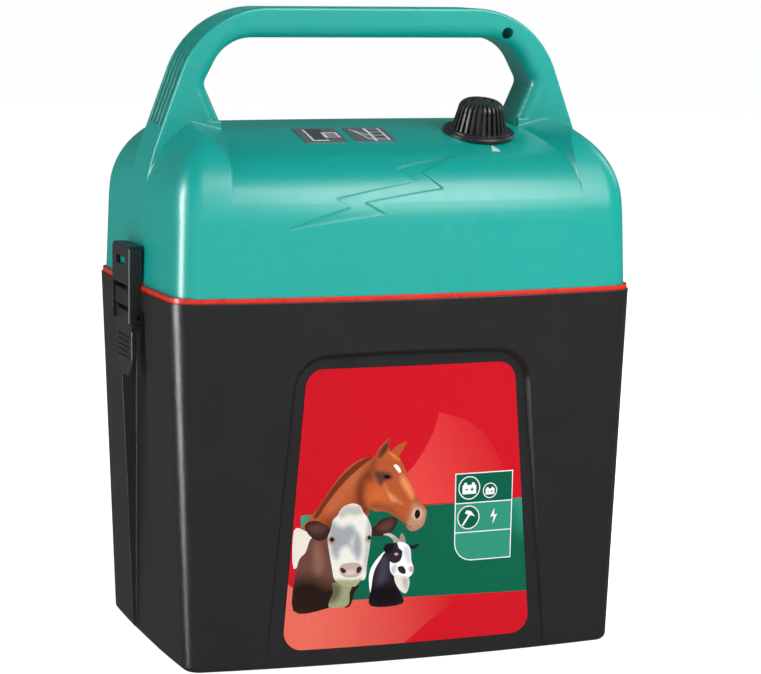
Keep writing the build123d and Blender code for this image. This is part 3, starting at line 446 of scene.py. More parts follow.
def rounded(points, radius, steps=8):
    """Polygon whose corners are arcs of one radius, or of one radius each."""
    radii = radius if isinstance(radius, (list, tuple)) else [radius] * len(points)
    out = []
    count = len(points)
    for i, r in enumerate(radii):
        corner = Vector(points[i])
        if not r:
            out.append(tuple(corner))
            continue
        back = (Vector(points[i - 1]) - corner).normalized()
        on = (Vector(points[(i + 1) % count]) - corner).normalized()
        half = back.angle(on) / 2
        reach = r / math.tan(half)
        centre = corner + (back + on).normalized() * (r / math.sin(half))
        first = corner + back * reach - centre
        last = corner + on * reach - centre
        start = math.atan2(first.y, first.x)
        sweep = math.remainder(math.atan2(last.y, last.x) - start, 2 * math.pi)
        for s in range(steps + 1):
            angle = start + sweep * s / steps
            out.append((centre.x + r * math.cos(angle), centre.y + r * math.sin(angle)))
    return out


def ring(centre, radius, steps=28):
    """Circle outline."""
    return [
        (centre[0] + radius * math.cos(a), centre[1] + radius * math.sin(a))
        for a in (2 * math.pi * i / steps for i in range(steps))
    ]


def stroke(points, width):
    """Outline of a line of the given width through the points."""
    left, right = [], []
    for i, p in enumerate(points):
        before = Vector(points[max(i - 1, 0)])
        after = Vector(points[min(i + 1, len(points) - 1)])
        along = (after - before).normalized()
        side = Vector((-along.y, along.x)) * width / 2
        left.append(tuple(Vector(p) + side))
        right.append(tuple(Vector(p) - side))
    return left + right[::-1]


def inside(point, outline):
    """True if the point is within the outline."""
    x, y = point
    hit = False
    for i, (x1, y1) in enumerate(outline):
        x2, y2 = outline[i - 1]
        if (y1 > y) != (y2 > y) and x < (x2 - x1) * (y - y1) / (y2 - y1) + x1:
            hit = not hit
    return hit


def edge_distance(point, outline):
    """Distance from a point to an outline."""
    x, y = point
    best = 1e9
    for i, (x1, y1) in enumerate(outline):
        x2, y2 = outline[i - 1]
        dx, dy = x2 - x1, y2 - y1
        long = dx * dx + dy * dy or 1e-12
        t = max(0.0, min(1.0, ((x - x1) * dx + (y - y1) * dy) / long))
        best = min(best, math.hypot(x - x1 - t * dx, y - y1 - t * dy))
    return best


def divided(points, longest):
    """The outline with its long edges divided, so that it can follow a curved surface."""
    out = []
    for i, (x2, y2) in enumerate(points):
        x1, y1 = points[i - 1]
        count = max(1, math.ceil(math.hypot(x2 - x1, y2 - y1) / longest))
        out += [(x1 + (x2 - x1) * k / count, y1 + (y2 - y1) * k / count) for k in range(1, count + 1)]
    return out


def anticlockwise(points):
    """The outline in anticlockwise order."""
    doubled = sum(points[i - 1][0] * p[1] - p[0] * points[i - 1][1] for i, p in enumerate(points))
    return list(points) if doubled > 0 else list(points)[::-1]


# ------------------------------------------------------------------ printed sheets
def flat(colour):
    """Paint of one colour."""
    return lambda point, under: colour


def fading(colour, start, end):
    """Paint that covers fully at the start point and fades out towards the end point."""
    a, b = Vector(start), Vector(end)
    along = b - a

    def paint(point, under):
        t = (Vector(point) - a).dot(along) / along.length_squared
        return mixed(colour, under, max(0.0, min(1.0, t)))

    return paint


def shaded(base, areas, fur=0.0):
    """Paint with soft-edged areas of (outline, tone, edge width) over it, and a little fur."""

    def paint(point, under):
        colour = base
        for outline, tone, width in areas:
            gap = edge_distance(point, outline)
            cover = 0.5 + (gap if inside(point, outline) else -gap) / width
            colour = mixed(colour, tone, max(0.0, min(1.0, cover)))
        x, z = point
        hair = math.sin(2.9 * x + 1.7 * z) * math.sin(1.3 * x - 3.7 * z)
        hair += math.sin(5.3 * x + 0.9 * z) * 0.5
        return tuple(c * (1 + fur * hair) for c in colour[:3]) + (1.0,)

    return paint


def sheet_mesh_input(outline, shapes, cell, fine):
    """Points and closed outlines of a printed sheet, before it is cut into triangles."""
    rings = [anticlockwise(divided(points, cell)) for points in [outline] + [s[0] for s in shapes]]
    verts, faces = [], []
    for points in rings:
        faces.append(list(range(len(verts), len(verts) + len(points))))
        verts += [Vector(p) for p in points]
    xs, ys = [p[0] for p in outline], [p[1] for p in outline]
    for (x1, y1, x2, y2), pitch in [((min(xs), min(ys), max(xs), max(ys)), cell)] + list(fine):
        for i in range(1, int((x2 - x1) / pitch)):
            for j in range(1, int((y2 - y1) / pitch)):
                p = (x1 + (i + 0.5 * (j % 2)) * pitch, y1 + j * pitch)
                if inside(p, outline):
                    verts.append(Vector(p))
    return verts, faces


def painted(point, layers, shapes):
    """Colour of a point under the shapes of the given layers, from the bottom up."""
    colour = PRINT_WHITE
    for k in layers:
        colour = shapes[k - 1][1](tuple(point), colour)
    return colour


def add_printed_front(bm, verts, faces, shapes, surface):
    """Cut the sheet along its outlines, bend it over the surface and ink its faces."""
    points, _, triangles, _, _, owners = delaunay_2d_cdt(verts, [], faces, 1, 1e-5, True)
    ink = bm.loops.layers.float_color.new("print")
    front = [bm.verts.new(surface(p.x, p.y)) for p in points]
    inks = {}
    for corners, owner in zip(triangles, owners):
        if 0 not in owner:
            continue
        face = bm.faces.new([front[i] for i in corners])
        face.smooth = True
        layers = tuple(sorted(k for k in owner if k))
        for loop, i in zip(face.loops, corners):
            if (i, layers) not in inks:
                inks[i, layers] = painted(points[i], layers, shapes)
            loop[ink] = inks[i, layers]
    for v in [v for v in bm.verts if not v.link_faces]:
        bm.verts.remove(v)


def close_behind(bm, back):
    """Close the sheet with a skirt along its rim and a flat rear face."""
    rim = [e for e in bm.edges if e.is_boundary]
    for edge in rim:
        edge.smooth = False
    skirt = bmesh.ops.extrude_edge_only(bm, edges=rim)["geom"]
    for v in (g for g in skirt if isinstance(g, bmesh.types.BMVert)):
        v.co += back
    low_rim = [g for g in skirt if isinstance(g, bmesh.types.BMEdge) and g.is_boundary]
    bmesh.ops.contextual_create(bm, geom=low_rim)
    bmesh.ops.recalc_face_normals(bm, faces=bm.faces)


def new_object(name, bm):
    """Object in the scene made from a finished bmesh."""
    mesh = bpy.data.meshes.new(name)
    bm.to_mesh(mesh)
    bm.free()
    made = bpy.data.objects.new(name, mesh)
    bpy.context.scene.collection.objects.link(made)
    return made


def printed_sheet(name, outline, shapes, surface, back, cell, fine=()):
    """Closed thin sheet whose front carries printed shapes with sharp edges.

    shapes are (outline, paint) from the bottom of the print upwards, surface gives the front's
    points, back leads to the rear face, and fine lists boxes that are meshed at their own pitch.
    """
    verts, faces = sheet_mesh_input(outline, shapes, cell, fine)
    bm = bmesh.new()
    add_printed_front(bm, verts, faces, shapes, surface)
    close_behind(bm, back)
    return new_object(name, bm)


def on_panel(x, z):
    """Point on the label's front for a place in millimetres."""
    y = LABEL_RADIUS - LABEL_FRONT - math.sqrt(LABEL_RADIUS**2 - x**2)
    return Vector((x, y, z)) * MM


def band(points, width):
    """Outline and paint of a white printed line."""
    return stroke(points, width), flat(PRINT_WHITE)


def ring_line(centre, radius, width, fill):
    """Printed ring as two stacked discs."""
    return [(ring(centre, radius), flat(PRINT_WHITE)), (ring(centre, radius - width), flat(fill))]


def oblong(left, low, right, high):
    """Upright rectangle as an outline."""
    return [(left, low), (right, low), (right, high), (left, high)]


def battery_icon(centre, size, ground):
    """Block with two posts and a strap, as a sign for the battery."""
    x, z = centre
    w, h = size, size * 0.62
    posts = [
        (oblong(x + a * w, z + h * 0.5, x + b * w, z + h * 0.75), flat(PRINT_WHITE))
        for a, b in ((-0.38, -0.18), (0.18, 0.38))
    ]
    body = oblong(x - w / 2, z - h / 2, x + w / 2, z + h / 2)
    bars = [
        (stroke([(x - w * 0.3, z), (x - w * 0.1, z)], h * 0.14), flat(ground)),
        (stroke([(x + w * 0.1, z), (x + w * 0.3, z)], h * 0.14), flat(ground)),
        (stroke([(x + w * 0.2, z - h * 0.2), (x + w * 0.2, z + h * 0.2)], h * 0.14), flat(ground)),
    ]
    return posts + [(body, flat(PRINT_WHITE))] + bars


def hammer_icon(centre):
    """Slanted hammer, as a sign for the pulse strength."""
    x, z = centre
    handle = stroke([(x - 3.0, z - 3.6), (x + 0.9, z + 2.2)], 1.0)
    corners = [(-1.9, 2.4), (-1.0, 4.0), (1.4, 3.4), (3.6, 0.6), (1.2, 1.4)]
    head = [(x + a, z + b) for a, b in corners]
    return [(handle, flat(PRINT_WHITE)), (head, flat(PRINT_WHITE))]


def bolt_icon(centre, size):
    """Small plain zigzag."""
    x, z = centre
    corners = [(0.1, 1), (-0.45, -0.1), (0, -0.02), (-0.15, -1), (0.45, 0.22), (0, 0.12)]
    return [([(x + a * size, z + b * size) for a, b in corners], flat(PRINT_WHITE))]


def data_box():
    """White-lined box of the data field with its signs; the values are left out."""
    low, high, left, right = 48.3, 92.8, 23.2, 54.2
    rows = (77.6, 62.8)
    edge = 0.5
    corners = [(left, low), (right, low), (right + 0.5, high), (left, high)]
    inner_head = [(right + 0.5 - edge, high - edge), (left + edge, high - edge)]
    inner = [(left + edge, low + edge), (right - edge, low + edge)] + inner_head
    shapes = [
        (rounded(corners, (9.5, 0, 0, 0)), flat(PRINT_WHITE)),
        (rounded(inner, (9.0, 0, 0, 0)), flat(LABEL_ROW_GREEN)),
        ([(left + edge, rows[0]), (right, rows[0])] + inner_head, flat(LABEL_DARK_GREEN)),
    ]
    for z in rows:
        shapes.append(band([(left + edge / 2, z), (right, z)], edge))
    shapes += ring_line((30.9, 85.2), 5.9, 0.5, LABEL_DARK_GREEN)
    shapes += battery_icon((30.9, 84.4), 7.4, LABEL_DARK_GREEN)
    shapes += ring_line((42.2, 83.2), 3.9, 0.45, LABEL_DARK_GREEN)
    shapes += battery_icon((42.2, 82.7), 4.8, LABEL_DARK_GREEN)
    shapes += ring_line((30.7, 70.3), 6.0, 0.5, LABEL_DARK_GREEN)
    shapes += hammer_icon((30.6, 70.0))
    shapes += bolt_icon((44.5, 70.2), 4.2)
    return shapes


def colour_fields():
    """Red ground with its pale sweeps and the green band."""
    sweep = [
        (14.0, 124.2), (27.2, 120.1), (37.9, 113.1), (44.5, 103.9), (50.1, 92.7), (53.6, 78.5),
        (-10.0, 78.5), (-8.0, 90.0), (1.0, 98.0), (6.7, 106.1), (11.2, 114.6),
    ]
    corner = [
        (-66.0, 8.0), (-66.0, 45.0), (-61.0, 41.0), (-50.0, 34.0), (30.0, 32.4), (22.0, 27.0),
        (10.0, 19.0), (-4.0, 8.0),
    ]
    green = [
        (-56.6, 76.2), (-20.0, 77.6), (60.0, 78.4), (70.0, 78.5), (70.0, 30.2), (0.0, 32.2),
        (-44.5, 32.8), (-50.0, 35.4), (-54.0, 39.4), (-56.4, 44.5),
    ]
    pale_right = [(46.0, 88.0), (75.0, 88.0), (75.0, 58.0), (61.0, 64.0)]
    pale_left = [(-70.0, 86.0), (-46.0, 86.0), (-52.0, 70.0), (-70.0, 64.0)]
    pale_areas = [(pale_right, LABEL_PALE_GREEN, 16.0), (pale_left, LABEL_PALE_GREEN, 10.0)]
    return [
        (oblong(-80, 0, 80, 160), flat(LABEL_RED)),
        (sweep, fading(LABEL_PALE_RED, (2.0, 88.0), (50.0, 112.0))),
        (corner, fading(LABEL_SALMON, (-52.0, 20.0), (24.0, 28.0))),
        (green, shaded(LABEL_GREEN, pale_areas)),
    ]


# Animals: outlines in label millimetres, drawn from the back of the print to the front
HORSE = [
    (-56, 69), (-48.5, 79), (-41.5, 89), (-36.5, 95.5), (-31.5, 100), (-26, 103), (-20, 103.5),
    (-17, 108), (-14, 111), (-11.5, 112.5), (-12.3, 108), (-11, 106), (-8, 108.5), (-3, 110.5),
    (-4.5, 107), (-7, 103), (-4.5, 99), (-2.5, 94.5), (-1, 91), (2, 84), (5.5, 79), (8, 75.5),
    (8, 72.5), (6.5, 68), (2.5, 65.5), (-1, 66), (-3.5, 69.5), (-8, 73), (-13.5, 76),
    (-19, 76.5), (-21.5, 77.5), (-22.5, 74.5), (-29, 72), (-43, 68),
]
MANE = [
    (-50, 76), (-41.5, 88.5), (-35.5, 95.5), (-30, 100), (-24.5, 103), (-20.5, 103.3),
    (-24.5, 100.5), (-31.5, 95), (-38, 88.5), (-44, 81), (-48, 75),
]
NEAR_EAR = [
    (-17.3, 102.5), (-18.2, 104.5), (-16.5, 107.5), (-14, 110.3), (-11.8, 112), (-12.5, 108),
    (-13.5, 106), (-15.5, 103.5),
]
FAR_EAR = [(-10.5, 105.5), (-8, 108.3), (-3.4, 110.2), (-4.7, 107.2), (-7.3, 103.5)]
STAR = [(-9.6, 99), (-7.6, 99), (-5.6, 96), (-6.6, 95), (-8.4, 97)]
FORELOCK = [(-13, 106.5), (-10.5, 105.3), (-7, 103), (-5, 99), (-8.5, 101.3), (-12, 103.5)]
HORSE_EYE = [(-15, 93.4), (-13, 94.4), (-10.9, 93.1), (-12.8, 92.3)]
NOSTRIL = [(1.9, 74), (2.5, 75.7), (3.9, 76), (4.8, 74), (4.4, 72.4), (3.1, 71.4), (2.1, 72.4)]
COW = [
    (-38, 75.5), (-37, 77.5), (-34.5, 80), (-30, 81), (-26.5, 79.5), (-25, 76.5), (-23, 74),
    (-21.5, 71), (-20.5, 67.5), (-21, 62.5), (-21.5, 57.5), (-22.5, 51), (-23, 45),
    (-24, 42.5), (-26, 42), (-28.5, 39.5), (-33, 39.8), (-37, 41.3), (-39.5, 44),
    (-40.5, 48.5), (-41.5, 54), (-42.5, 59.5), (-43, 64.5), (-41.5, 68.5), (-40.5, 73),
]
COW_EAR_LEFT = [
    (-54.6, 70.5), (-52.5, 73), (-48.5, 73.2), (-45, 71.5), (-42.3, 69.5), (-42, 66),
    (-44.5, 64), (-48, 63.3), (-52, 66),
]
COW_EAR_RIGHT = [
    (-21.5, 68.5), (-18.5, 69.5), (-16, 72), (-12, 73.2), (-8, 72.6), (-7, 70.5), (-8.5, 67.3),
    (-12, 64.3), (-16.5, 63.8), (-19.5, 64), (-20.6, 66),
]
COW_EYE_LEFT = [(-42, 63.6), (-41, 64.9), (-39.5, 63.5), (-40.6, 62.4)]
COW_EYE_RIGHT = [(-22.6, 63.6), (-21.6, 64.6), (-20.8, 63.3), (-21.8, 62.4)]
NOSE_PAD = [
    (-37, 49), (-35, 51), (-30.5, 51.5), (-27, 51), (-25, 49), (-25.5, 46), (-28.5, 44),
    (-33.5, 44.3), (-36, 46),
]
COW_NOSTRIL_LEFT = [(-36.4, 48.6), (-35.4, 49.2), (-33.4, 47.6), (-34.2, 46.4), (-35.6, 46.9)]
COW_NOSTRIL_RIGHT = [(-28, 48), (-27, 49.3), (-25.4, 48.5), (-26.2, 46.5), (-27.8, 46)]
COW_BODY = [
    (-58, 52), (-54, 58), (-51.5, 64.5), (-47, 65), (-43, 64.5), (-42.3, 57.5), (-40.5, 50),
    (-38, 41), (-38, 33), (-44, 29), (-60, 29),
]
COW_FLANK = [(-60, 69), (-54, 68.3), (-51, 65), (-53.5, 58.5), (-60, 50)]
COW_NECK = [(-40, 42), (-31, 40), (-31.5, 36), (-32.5, 30), (-42, 30), (-40, 37)]
COW_LEG = [(-33, 41), (-26.8, 40), (-29, 36), (-31, 30), (-34, 30)]
GOAT_BODY = [
    (-13, 56), (-15.8, 52), (-18.8, 46.5), (-20.2, 38.5), (-20.4, 29), (-4, 29), (-5.5, 35.5),
    (-7.3, 39), (-8.2, 43.5), (-8, 50), (-9, 57),
]
GOAT_BACK = [
    (-13, 56.5), (-17.5, 52.5), (-20.8, 47.5), (-21.6, 42), (-20.6, 35), (-19.4, 41),
    (-18.2, 46.5), (-15, 52),
]
GOAT_HEAD = [
    (-8, 59.5), (-5, 60.3), (-1.7, 58.8), (0, 56), (0.5, 50.5), (1.7, 47), (1.2, 44), (-1, 42),
    (-3.5, 42.6), (-6.5, 42.3), (-9.5, 44.3), (-10.7, 47), (-10.6, 52), (-9.5, 57),
]
GOAT_MASK = [
    (-8, 60.2), (-11.5, 59), (-12.6, 55.5), (-10.8, 51), (-8, 49.8), (-5.2, 51.2),
    (-4.3, 55.3), (-6.2, 57.3), (-7, 59.6),
]
GOAT_EAR_LEFT = [(-14.2, 58), (-12.5, 59.8), (-9, 59.7), (-9.5, 56.5), (-11.5, 54.8), (-13.7, 56)]
GOAT_EAR_RIGHT = [(-0.7, 58.2), (2, 58.3), (4.8, 58.8), (2.5, 56.4), (0, 56.4)]
HORN_LEFT = [
    (-14.5, 64.6), (-11.5, 65.1), (-9, 64), (-6.5, 61.7), (-5.3, 59.8), (-8.2, 59.3),
    (-9.5, 61.8), (-11.5, 63.5),
]
HORN_RIGHT = [(-6, 60), (-5.6, 63.3), (-4.6, 64.7), (-3.4, 63), (-2.5, 59.6), (-4, 59)]
GOAT_MUZZLE = [(-6.6, 47.6), (-4, 48), (-2.4, 45.7), (-3, 44), (-5.6, 45)]
BEARD = [(-8.2, 43.8), (-3.5, 43), (-0.8, 42), (-0.3, 38.5), (-2, 34.3), (-5, 35.6), (-7.6, 39.5)]
GOAT_EYE = [(-8.6, 54.6), (-7.2, 55), (-6.4, 54.2), (-7.6, 53.5)]


def soft(points, red, green, blue, width):
    """Soft-edged area: smooth outline, tone and edge width."""
    return smooth(points, 3), linear(red, green, blue), width


def horse_print():
    """Chestnut horse's head and neck, looking right."""
    jaw = [
        (-19, 103), (-20, 96.5), (-21, 92), (-24, 91), (-24.5, 84.5), (-23.5, 80),
        (-21.5, 77.5), (-24.5, 75), (-28.5, 80), (-29, 87), (-27, 93.5), (-23, 97.5),
    ]
    cheek = [(-20, 89), (-15.5, 89), (-12, 84), (-13, 78.5), (-17.5, 77), (-21.5, 79.5), (-23, 84.5)]
    neck = [(-44, 80), (-36, 90), (-29, 97), (-26, 95), (-34, 85), (-41, 76)]
    chest = [(-46, 72), (-30, 79), (-26, 80), (-24, 74), (-40, 66)]
    throat = [(-21, 78), (-14, 76.5), (-8, 73.3), (-3.5, 70), (-6, 74), (-12, 79), (-20, 81)]
    socket = [
        (-19.5, 96.4), (-15.5, 96.2), (-11, 94.8), (-10.2, 92.6), (-14, 91.4), (-16.2, 89.3),
        (-18.2, 92),
    ]
    bridge = [(-5.5, 94), (-2.2, 91), (1.2, 84), (0.2, 81.5), (-3, 86), (-5.6, 90)]
    bone = [(-14, 90), (-12, 86), (-8.5, 83), (-4.5, 79), (-7.5, 80.5), (-10.5, 81), (-12.8, 85.5)]
    muzzle = [
        (0.5, 79), (3.5, 78.5), (7.8, 75.5), (7.8, 72), (6, 67), (1, 65.5), (-2.5, 67.5),
        (-1, 72), (0, 75.5),
    ]
    coat = [
        soft(neck, 188, 98, 62, 5),
        soft(chest, 116, 50, 28, 7),
        soft(jaw, 118, 52, 28, 4),
        soft(cheek, 200, 98, 44, 5),
        soft(throat, 142, 72, 40, 3),
        soft(socket, 92, 54, 46, 2),
        soft(bridge, 228, 140, 90, 2.5),
        soft(bone, 222, 134, 84, 1.4),
        soft(muzzle, 180, 138, 114, 3),
        soft(ring((3.2, 73.8), 2.9, 10), 208, 172, 148, 1),
        (stroke([(-3.6, 69.8), (-1.6, 68.2), (1, 67.2), (4.6, 67.6)], 0.5), linear(92, 60, 50), 0.5),
    ]
    ear_hollow = [(-16.5, 104), (-15.5, 107.5), (-13, 110), (-13, 108), (-14.5, 105.5)]
    near_ear = [soft(ear_hollow, 84, 40, 26, 1.2)]
    far_ear = [soft([(-9.5, 105.6), (-7.6, 107.6), (-5, 109), (-6.5, 105.5)], 226, 160, 116, 1.4)]
    forelock = [soft([(-12, 105.5), (-9.5, 104.5), (-6.5, 101), (-9, 102.6)], 222, 128, 66, 1.2)]
    return [
        (smooth(FAR_EAR), shaded(linear(190, 104, 60), far_ear, 0.02)),
        (smooth(HORSE), shaded(linear(176, 84, 40), coat, 0.03)),
        (smooth(MANE), shaded(linear(112, 48, 26), [], 0.10)),
        (smooth(NEAR_EAR), shaded(linear(132, 62, 32), near_ear, 0.03)),
        (smooth(FORELOCK), shaded(linear(182, 92, 44), forelock, 0.08)),
        (smooth(STAR), flat(linear(240, 232, 226))),
        (smooth(HORSE_EYE), flat(linear(28, 18, 18))),
        (smooth(NOSTRIL), flat(linear(34, 20, 18))),
    ]


def cow_print():
    """White-faced brown cow, looking ahead."""
    brown = linear(58, 34, 28)
    brow = [
        (-37.5, 76), (-35, 79.5), (-30, 80), (-26.5, 79), (-25, 76), (-29, 75), (-33, 75.5),
        (-36, 74),
    ]
    left_cheek = [
        (-41, 72.5), (-36, 69.5), (-31, 70.5), (-28.5, 66.5), (-31, 61.5), (-30, 56.5),
        (-33, 60), (-36.5, 58), (-37.5, 54), (-40, 55), (-42, 61.5), (-42.5, 67),
    ]
    nose_side = [(-28.5, 66.5), (-26, 63.5), (-25.5, 57.5), (-27, 52.5), (-29.5, 56), (-30, 61)]
    right_edge = [(-22.5, 74), (-20.5, 70), (-21, 58), (-22.8, 46), (-24.5, 50), (-23.6, 60)]
    chin = [(-39, 43.2), (-34.5, 43.2), (-30, 42.8), (-25, 43), (-28, 39), (-37, 40)]
    face = [
        soft(brow, 186, 184, 174, 2),
        soft(left_cheek, 158, 162, 168, 3),
        soft(nose_side, 156, 160, 168, 2.5),
        soft(right_edge, 186, 186, 182, 2),
        soft(ring((-41, 63.2), 1.8, 8), 160, 122, 100, 1.6),
        soft(ring((-22, 63), 1.6, 8), 160, 122, 100, 1.6),
        soft(chin, 162, 160, 122, 1.6),
    ]
    body = [
        soft([(-50, 60), (-47, 62), (-45, 50), (-49, 46)], 138, 94, 80, 4),
        soft([(-62, 43), (-50, 45), (-43, 41), (-36, 42), (-36, 26), (-62, 26)], 40, 24, 18, 8),
    ]
    neck = [soft([(-42, 42), (-36, 40), (-37, 34), (-42, 32)], 98, 96, 70, 3)]
    left_ear = [soft([(-52.6, 70.6), (-47, 71.6), (-44, 68.6), (-50, 66.8)], 92, 58, 48, 2.6)]
    right_ear = [soft([(-17.6, 68), (-12, 71.6), (-9, 70.2), (-12.4, 66.4)], 92, 58, 48, 2.6)]
    pad = [soft([(-34.5, 46.5), (-31, 47.8), (-28, 46.6), (-31, 45.2)], 210, 194, 188, 1.5)]
    return [
        (smooth(COW_FLANK), shaded(linear(228, 220, 210), [], 0.01)),
        (smooth(COW_BODY), shaded(linear(106, 66, 56), body, 0.06)),
        (smooth(COW_LEG), shaded(linear(44, 28, 20), [], 0.05)),
        (smooth(COW_NECK), shaded(linear(150, 156, 118), neck, 0.04)),
        (smooth(COW_EAR_LEFT), shaded(brown, left_ear, 0.06)),
        (smooth(COW_EAR_RIGHT), shaded(brown, right_ear, 0.06)),
        (smooth(COW), shaded(linear(228, 226, 218), face, 0.02)),
        (smooth(NOSE_PAD), shaded(linear(188, 164, 156), pad)),
        (smooth(COW_NOSTRIL_LEFT), flat(linear(60, 34, 32))),
        (smooth(COW_NOSTRIL_RIGHT), flat(linear(60, 34, 32))),
        (smooth(COW_EYE_LEFT), flat(linear(34, 22, 20))),
        (smooth(COW_EYE_RIGHT), flat(linear(34, 22, 20))),
    ]


def goat_print():
    """Black and white goat with a beard, looking right."""
    coat = [
        soft([(-15, 53), (-11.5, 51), (-12.5, 42), (-17.5, 39)], 66, 60, 76, 4),
        soft([(-20, 38), (-6, 38), (-6, 30), (-20, 30)], 18, 16, 20, 5),
    ]
    head = [
        soft([(-2.6, 58), (-0.6, 56), (0.2, 50), (-1.6, 50), (-3.6, 55)], 206, 206, 214, 2),
        soft([(-9.8, 47.5), (-7.4, 49.4), (-8, 45), (-9.4, 44.8)], 186, 182, 192, 1.6),
        soft([(-0.6, 47.4), (1.4, 47.4), (1.4, 45), (-0.4, 45)], 196, 150, 150, 1),
    ]
    horn = [soft([(-9.4, 63), (-6, 60.6), (-8.4, 60.4)], 140, 128, 116, 1.4)]
    beard = [soft([(-4, 42), (-1, 41), (-1.6, 36), (-3, 37)], 176, 170, 156, 2)]
    return [
        (smooth(GOAT_BACK), shaded(linear(238, 238, 240), [], 0.01)),
        (smooth(GOAT_BODY), shaded(linear(34, 30, 40), coat, 0.08)),
        (smooth(HORN_RIGHT), flat(linear(150, 136, 122))),
        (smooth(HORN_LEFT), shaded(linear(194, 184, 170), horn)),
        (smooth(GOAT_EAR_RIGHT), flat(linear(32, 28, 36))),
        (smooth(GOAT_HEAD), shaded(linear(240, 240, 242), head, 0.01)),
        (smooth(GOAT_MASK), shaded(linear(42, 37, 50), [], 0.08)),
        (smooth(GOAT_EAR_LEFT), flat(linear(24, 22, 28))),
        (smooth(GOAT_MUZZLE), flat(linear(44, 38, 46))),
        (smooth(BEARD), shaded(linear(222, 218, 208), beard, 0.04)),
        (smooth(GOAT_EYE), flat(linear(190, 164, 120))),
    ]


def front_label(materials):
    """Front label: colour fields, animals and data box on the bowed panel."""
    foot = [(-LABEL_HALF_FOOT, LABEL_LOW), (LABEL_HALF_FOOT, LABEL_LOW)]
    head = [(LABEL_HALF_HEAD, LABEL_HIGH), (-LABEL_HALF_HEAD, LABEL_HIGH)]
    outline = rounded(foot + head, LABEL_CORNER)
    shapes = colour_fields() + horse_print() + cow_print() + goat_print() + data_box()
    sheet = printed_sheet(
        "front_label_print",
        outline,
        shapes,
        on_panel,
        Vector((0, LABEL_THICKNESS * MM, 0)),
        LABEL_PITCH,
        [(ANIMAL_AREA, ANIMAL_PITCH), (SWEEP_AREA, SWEEP_PITCH)],
    )
    sheet.data.materials.append(materials["label_print"])
    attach(sheet, "case")
    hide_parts("front_label")


def on_barrel():
    """Function that gives the point of a pictogram label's face above a place in millimetres."""
    tree = BVHTree.FromObject(frame["nodes"]["cover_shell"], bpy.context.evaluated_depsgraph_get())
    lift = Vector((0, 0, PICTOGRAM_THICKNESS * MM))

    def place(x, y):
        hit = tree.ray_cast(Vector((x * MM, y * MM, ABOVE_BARREL * MM)), Vector((0, 0, -1)))[0]
        return hit + lift

    return place


def pictogram(materials, name, corners, signs):
    """Small foil label on the barrel.

    signs are (outline, colour), with the outline in shares of the label's width and depth.
    """
    left, right, rear, front = corners

    def spot(s, t):
        return left + s * (right - left), rear + t * (front - rear)

    outline = rounded([spot(0, 0), spot(1, 0), spot(1, 1), spot(0, 1)], 0.8, 4)
    shapes = [([spot(-0.1, -0.1), spot(1.1, -0.1), spot(1.1, 1.1), spot(-0.1, 1.1)], flat(FOIL_GREY))]
    shapes += [([spot(*p) for p in points], flat(colour)) for points, colour in signs]
    down = Vector((0, 0, -PICTOGRAM_PRINT_DEPTH * MM))
    sheet = printed_sheet(name + "_print", outline, shapes, on_barrel(), down, PICTOGRAM_PITCH)
    sheet.data.materials.append(materials["pictogram_foil"])
    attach(sheet, "cover")
    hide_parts(name)


def pictogram_labels(materials):
    """The two signs: an opened housing with its battery, and a post with its wires."""
    housing = [
        (oblong(0.22, 0.06, 0.62, 0.90), FOIL_DARK),
        (oblong(0.20, 0.10, 0.25, 0.92), PRINT_WHITE),
        (oblong(0.20, 0.86, 0.60, 0.92), PRINT_WHITE),
        (oblong(0.58, 0.34, 0.92, 0.74), FOIL_PALE),
        (oblong(0.56, 0.36, 0.63, 0.74), PRINT_WHITE),
        (oblong(0.88, 0.36, 0.93, 0.74), PRINT_WHITE),
        (oblong(0.63, 0.36, 0.88, 0.40), PRINT_WHITE),
    ]
    fence = [
        (oblong(0.52, 0.10, 0.86, 0.94), FOIL_PALE),
        (oblong(0.56, 0.20, 0.84, 0.30), FOIL_DARK),
        (oblong(0.56, 0.44, 0.84, 0.54), FOIL_DARK),
        (oblong(0.56, 0.68, 0.84, 0.78), FOIL_DARK),
        (oblong(0.48, 0.06, 0.55, 0.98), PRINT_WHITE),
        (oblong(0.83, 0.06, 0.88, 0.96), PRINT_WHITE),
        (stroke([(0.12, 0.14), (0.30, 0.42), (0.46, 0.62)], 0.035), PRINT_WHITE),
        (stroke([(0.20, 0.30), (0.36, 0.80), (0.47, 0.90)], 0.035), PRINT_WHITE),
    ]
    pictogram(materials, "pictogram_label_left", PICTOGRAM_LEFT, housing)
    pictogram(materials, "pictogram_label_right", PICTOGRAM_RIGHT, fence)


# ------------------------------------------------------------------ studio, in metres
FLOOR_REACH = 30.0
FLOOR_CELLS = 12
FLOOR_LEVEL = -0.0002


def backdrop():
    """Wide pale floor, lit softly from below and kept out of the gloss."""
    bm = bmesh.new()
    marks = [-FLOOR_REACH + i * 2 * FLOOR_REACH / FLOOR_CELLS for i in range(FLOOR_CELLS + 1)]
    grid = [[bm.verts.new((x, y, FLOOR_LEVEL)) for y in marks] for x in marks]
    for i in range(FLOOR_CELLS):
        for j in range(FLOOR_CELLS):
            bm.faces.new((grid[i][j], grid[i + 1][j], grid[i + 1][j + 1], grid[i][j + 1]))
    floor = new_object("floor", bm)
    mat, tree, shader = new_material("floor_paper")
    fibre = noise(tree, object_place(tree), 40, 4)
    tones(tree, shader, fibre, (0.88, 0.88, 0.88, 1), (0.92, 0.92, 0.92, 1))
    shader.inputs["Roughness"].default_value = 0.9
    shader.inputs["Specular IOR Level"].default_value = 0.1
    shader.inputs["Emission Color"].default_value = (1, 1, 1, 1)
    shader.inputs["Emission Strength"].default_value = 0.85
    floor.data.materials.append(mat)
    floor.visible_glossy = False


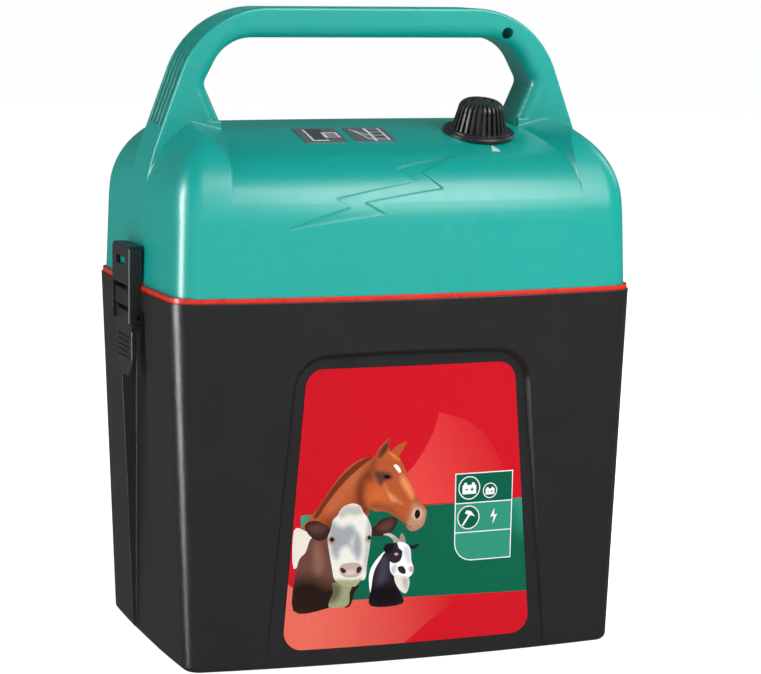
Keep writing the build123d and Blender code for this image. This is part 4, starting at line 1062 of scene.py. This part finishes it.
def facing(place, target):
    """Rotation that turns a lamp or camera at a place towards a target."""
    return (Vector(target) - Vector(place)).to_track_quat("-Z", "Y").to_euler()


def area_light(name, place, target, width, height, power, gloss_only=False):
    """Softbox that faces a point; it can serve the highlights alone."""
    data = bpy.data.lights.new(name, "AREA")
    data.shape = "RECTANGLE"
    data.size = width
    data.size_y = height
    data.energy = power
    lamp = bpy.data.objects.new(name, data)
    lamp.location = place
    lamp.rotation_euler = facing(place, target)
    lamp.visible_diffuse = not gloss_only
    bpy.context.scene.collection.objects.link(lamp)


def sun_light(name, source, strength, spread):
    """Distant soft light from a direction."""
    data = bpy.data.lights.new(name, "SUN")
    data.energy = strength
    data.angle = math.radians(spread)
    lamp = bpy.data.objects.new(name, data)
    lamp.rotation_euler = facing(source, (0, 0, 0))
    bpy.context.scene.collection.objects.link(lamp)


def studio_light():
    """Box high in front, strip from the left, gloss-only strip for the left edges, rim and fill."""
    area_light("front_box", (0.55, -1.08, 1.1), (0, 0, 0.2), 0.85, 1.15, 24)
    area_light("left_strip", (-1.6, -0.05, 0.4), (0, 0, 0.16), 0.26, 1.5, 17)
    area_light("edge_strip", (-1.55, -0.05, 0.4), (0, 0, 0.16), 0.34, 1.5, 34, True)
    area_light("right_strip", (1.3, 0.35, 0.95), (0, 0, 0.2), 0.3, 0.8, 3)
    sun_light("fill", (-0.25, -0.92, 0.30), 0.3, 50)
    world = bpy.data.worlds.new("studio")
    bpy.context.scene.world = world
    world.use_nodes = True
    background = world.node_tree.nodes["Background"]
    background.inputs["Color"].default_value = (1, 1, 1, 1)
    background.inputs["Strength"].default_value = 0.12


def studio_camera():
    """Camera of the studio view: long lens, from the front left and a little above."""
    yaw, pitch, roll = CAMERA_YAW, CAMERA_PITCH, CAMERA_ROLL
    forward = Vector(
        (math.sin(yaw) * math.cos(pitch), math.cos(yaw) * math.cos(pitch), math.sin(pitch))
    )
    right = Vector((math.cos(yaw), -math.sin(yaw), 0))
    up = right.cross(forward)
    right_rolled = right * math.cos(roll) + up * math.sin(roll)
    up_rolled = up * math.cos(roll) - right * math.sin(roll)
    data = bpy.data.cameras.new("studio_camera")
    data.lens = CAMERA_LENS
    data.sensor_width = CAMERA_SENSOR
    data.sensor_fit = "HORIZONTAL"
    camera = bpy.data.objects.new("studio_camera", data)
    bpy.context.scene.view_settings.view_transform = "Standard"
    turned = Matrix((right_rolled, up_rolled, -forward)).transposed()
    camera.matrix_world = Matrix.Translation(Vector(CAMERA_PLACE) * MM) @ turned.to_4x4()
    bpy.context.scene.collection.objects.link(camera)
    bpy.context.scene.camera = camera


# ------------------------------------------------------------------ build
materials = all_materials()
dress_nodes(materials)
front_label(materials)
pictogram_labels(materials)
backdrop()
studio_light()
studio_camera()
